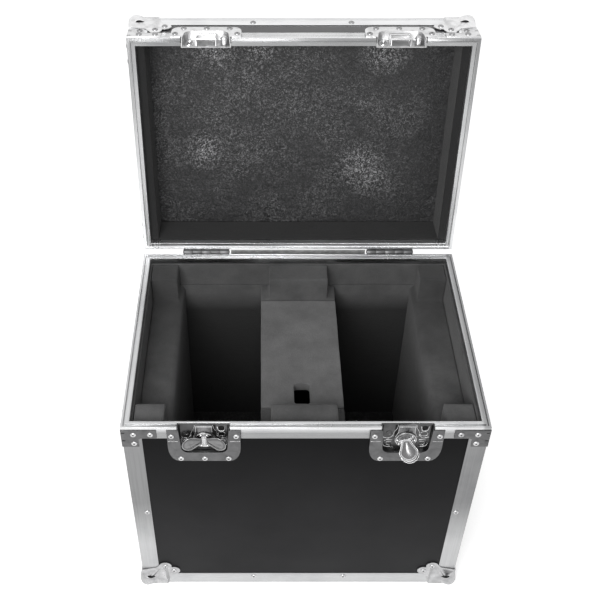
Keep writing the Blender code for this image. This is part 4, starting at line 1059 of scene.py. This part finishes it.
def ball_corner(node, body, finish):
    """The CAD corner with its ball swollen and three dimples cut, drawn with the lid shut."""
    shape = copy_of_node(node, node + "_dressed")
    if body == "lid":
        shape.data.transform(LID_OPEN.inverted())
    points = [vertex.co for vertex in shape.data.vertices]
    side_x = 1 if points[0].x > 0 else -1
    side_y = 1 if sum(point.y for point in points) / len(points) > BASE_Y else -1
    upward = -1 if body == "lid" else 1
    corner = Vector((side_x * HALF_W, BASE_Y + side_y * HALF_D, LID_TOP if body == "lid" else FLOOR))

    def inward(along_x, along_y, along_z):
        return corner + Vector((-side_x * along_x, -side_y * along_y, upward * along_z))

    shape.data.materials.append(finish)
    round_part = ball(inward(BALL_IN, BALL_IN, BALL_IN))
    round_part.data.materials.append(finish)
    if body == "base":
        carve(round_part, block("below", (-0.4, -0.4, -0.1), (0.4, 0.4, 0.0)))
    carve(shape, round_part, "UNION")
    # Painted shade: the dimples' cut faces keep the dark dimple finish.
    carve(shape, eye(inward(EYE_NEAR, EYE_DEEP, EYE_FAR), (0.0080, 0.0045, 0.0034)), keep_finish=True)
    carve(shape, eye(inward(EYE_DEEP, EYE_NEAR, EYE_FAR), (0.0045, 0.0080, 0.0034)), keep_finish=True)
    carve(shape, eye(inward(EYE_FAR, EYE_NEAR, EYE_DEEP), (0.0034, 0.0080, 0.0045)), keep_finish=True)
    if body == "lid":
        shape.data.transform(LID_OPEN)
    smooth(shape, math.radians(28))
    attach(shape, body)
    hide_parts(node)


for body, finish in (("base", CORNER_ZINC), ("lid", LID_CORNER_ZINC)):
    for place in PLACES:
        ball_corner(f"{body}_ball_corner_{place}", body, finish)


# Metal pieces of the CAD model with their edges broken, as real ones are

BODIES = frame["record"]["behaviour"]["bodies"]
PAN_DEPTH = -0.0014


def edged(node, finish, width, pan=None):
    """A copy with broken edges; a dish's pan, behind the face of its plate, may have its own darker finish,
    painted as shade.
    """
    body = next(name for name, members in BODIES.items() if node in members)
    piece = copy_of_node(node, node + "_dressed")
    merge_flats(piece)
    modify(piece, "BEVEL", width=width, segments=2, limit_method="ANGLE", angle_limit=math.radians(30))
    fit(smooth(piece), finish, body, node)
    if pan:
        pan_shade_finish, place = pan
        inverse = place.inverted()
        piece.data.materials.append(pan_shade_finish)
        for face in piece.data.polygons:
            if (inverse @ face.center).z < PAN_DEPTH:
                face.material_index = 1


def cut_brace(node, upward, rim):
    """Two short slots across the folded corner of a brace, their faces painted dark as shade."""
    piece = bpy.data.objects[node + "_dressed"]
    lid = upward > 0
    if lid:
        piece.data.transform(LID_OPEN.inverted())
    points = [vertex.co for vertex in piece.data.vertices]
    side_x = math.copysign(1, sum(point.x for point in points))
    side_y = math.copysign(1, sum(point.y - BASE_Y for point in points))
    corner = Vector((side_x * HALF_W, BASE_Y + side_y * HALF_D, 0))

    def across_fold(level, inner, outer, half):
        cutter = block("slot", corner + Vector((-side_x * inner, -side_y * inner, level - half)),
                       corner + Vector((side_x * outer, side_y * outer, level + half)))
        cutter.data.materials.append(GAP_SHADE)
        return cutter

    for down in (0.0120, 0.0300):
        slot = across_fold(rim + upward * down, 0.0055, 0.0020, 0.0009)
        carve(slot, across_fold(rim + upward * down, 0.0070, -0.0001, 0.0020))
        carve(piece, slot, keep_finish=True)
    if lid:
        piece.data.transform(LID_OPEN)


EDGED = {
    "base_edge_frame": (POST_METAL, 0.0004), "base_rim": (RIM_METAL, 0.0005),
    "lid_rim": (LID_RIM_METAL, 0.0005), "lid_rim_middle": (LID_RIM_METAL, 0.0005),
    "lid_edge_frame": (LID_METAL, 0.0004),
}
for word in ("left", "right"):
    for kind in ("latch_dish", "keeper_dish", "handle_dish", "hinge_base_leaf", "hinge_lid_leaf"):
        EDGED[f"{kind}_{word}"] = (LID_ZINC if kind == "keeper_dish" else ZINC, 0.0003)
for place in PLACES:
    EDGED[f"base_rim_brace_{place}"] = (ZINC, 0.0003)
    EDGED[f"lid_rim_brace_{place}"] = (LID_ZINC, 0.0003)
# Painted shade: the latch and keeper pans take darker zinc than their plates.
PANS = {}
for side, word in SIDES:
    PANS[f"latch_dish_{word}"] = (PAN_SHADE_ZINC, latch_place(side, RIM))
    PANS[f"keeper_dish_{word}"] = (KEEPER_PAN_SHADE_ZINC, LID_OPEN @ latch_place(side, LID_RIM))
for node, (finish, width) in EDGED.items():
    edged(node, finish, width, PANS.get(node))
for place in PLACES:
    cut_brace(f"base_rim_brace_{place}", -1, RIM)
    cut_brace(f"lid_rim_brace_{place}", 1, LID_RIM)

# The CAD nodes that stay in sight
FINISHES = {
    "rear_gap_strip": STRIP_METAL, "hinge_pin_left": PIN_METAL, "hinge_pin_right": PIN_METAL,
    "handle_bail_left": STEEL, "handle_bail_right": STEEL,
}
for place in ("floor", "front", "rear", "left", "right"):
    FINISHES[f"{place}_panel"] = LAMINATE
for place in ("top", "front", "rear", "left", "right"):
    FINISHES[f"lid_{place}_panel"] = LID_FRONT_LAMINATE if place == "front" else LID_LAMINATE
for name, piece in frame["nodes"].items():
    piece.data.materials.clear()
    piece.data.materials.append(FINISHES.get(name, ZINC))


# Floor and light

# Where the camera sees the floor's glow start, how far it grows, and its least and greatest strength
GLOW_MIDDLE, GLOW_REACH, GLOW = (-0.25, -0.90, 0), (0.7, 1.4), (0.45, 0.90)
GLOW_MIRRORED = 0.62


def white_stage():
    """A white floor that keeps the shadow near the case and shows as plain white further away."""
    finish = bpy.data.materials.new("stage_white")
    finish.use_nodes = True
    tree = finish.node_tree
    tree.nodes.clear()
    out = tree.nodes.new("ShaderNodeOutputMaterial")
    matt = tree.nodes.new("ShaderNodeBsdfDiffuse")
    matt.inputs["Color"].default_value = (0.93, 0.93, 0.93, 1)
    glow = tree.nodes.new("ShaderNodeEmission")
    both = tree.nodes.new("ShaderNodeAddShader")
    rays = tree.nodes.new("ShaderNodeLightPath")
    level = spread(tree, measured(tree, "DISTANCE", GLOW_MIDDLE), GLOW_REACH, GLOW)
    seen = combine(tree, rays.outputs["Is Camera Ray"], level, "MULTIPLY")
    mirrored = combine(tree, rays.outputs["Is Glossy Ray"], rays.outputs["Is Transmission Ray"], "MAXIMUM")
    strength = combine(tree, seen, combine(tree, mirrored, GLOW_MIRRORED, "MULTIPLY"), "ADD")
    tree.links.new(strength, glow.inputs["Strength"])
    tree.links.new(matt.outputs[0], both.inputs[0])
    tree.links.new(glow.outputs[0], both.inputs[1])
    tree.links.new(both.outputs[0], out.inputs["Surface"])
    return finish


bpy.ops.object.select_all(action="DESELECT")
bpy.ops.mesh.primitive_plane_add(size=14, location=(0, 0, 0))
floor = bpy.context.object
floor.name = "stage_floor"
floor.data.materials.append(white_stage())

sky = bpy.data.worlds.new("white_room")
sky.use_nodes = True
tree = sky.node_tree
rays = tree.nodes.new("ShaderNodeLightPath")
seen = combine(tree, rays.outputs["Is Camera Ray"], rays.outputs["Is Glossy Ray"], "MAXIMUM")
seen = combine(tree, seen, rays.outputs["Is Transmission Ray"], "MAXIMUM")
tree.links.new(spread(tree, seen, (0, 1), (0.20, 1.0)), tree.nodes["Background"].inputs["Strength"])
tree.nodes["Background"].inputs["Color"].default_value = (1, 1, 1, 1)
bpy.context.scene.world = sky


def lamp(name, place, target, size, power):
    light = bpy.data.lights.new(name, "AREA")
    light.shape = "SQUARE"
    light.size = size
    light.energy = power
    stand = bpy.data.objects.new(name, light)
    stand.location = place
    stand.rotation_euler = (Vector(target) - Vector(place)).to_track_quat("-Z", "Y").to_euler()
    bpy.context.scene.collection.objects.link(stand)


lamp("lamp_above", (-0.45, -0.70, 2.4), (0, 0, 0.3), 1.2, 4)
lamp("lamp_front", (-0.50, -1.75, 1.60), (0, 0, 0.35), 1.1, 36)

bpy.context.scene.view_settings.view_transform = "Standard"
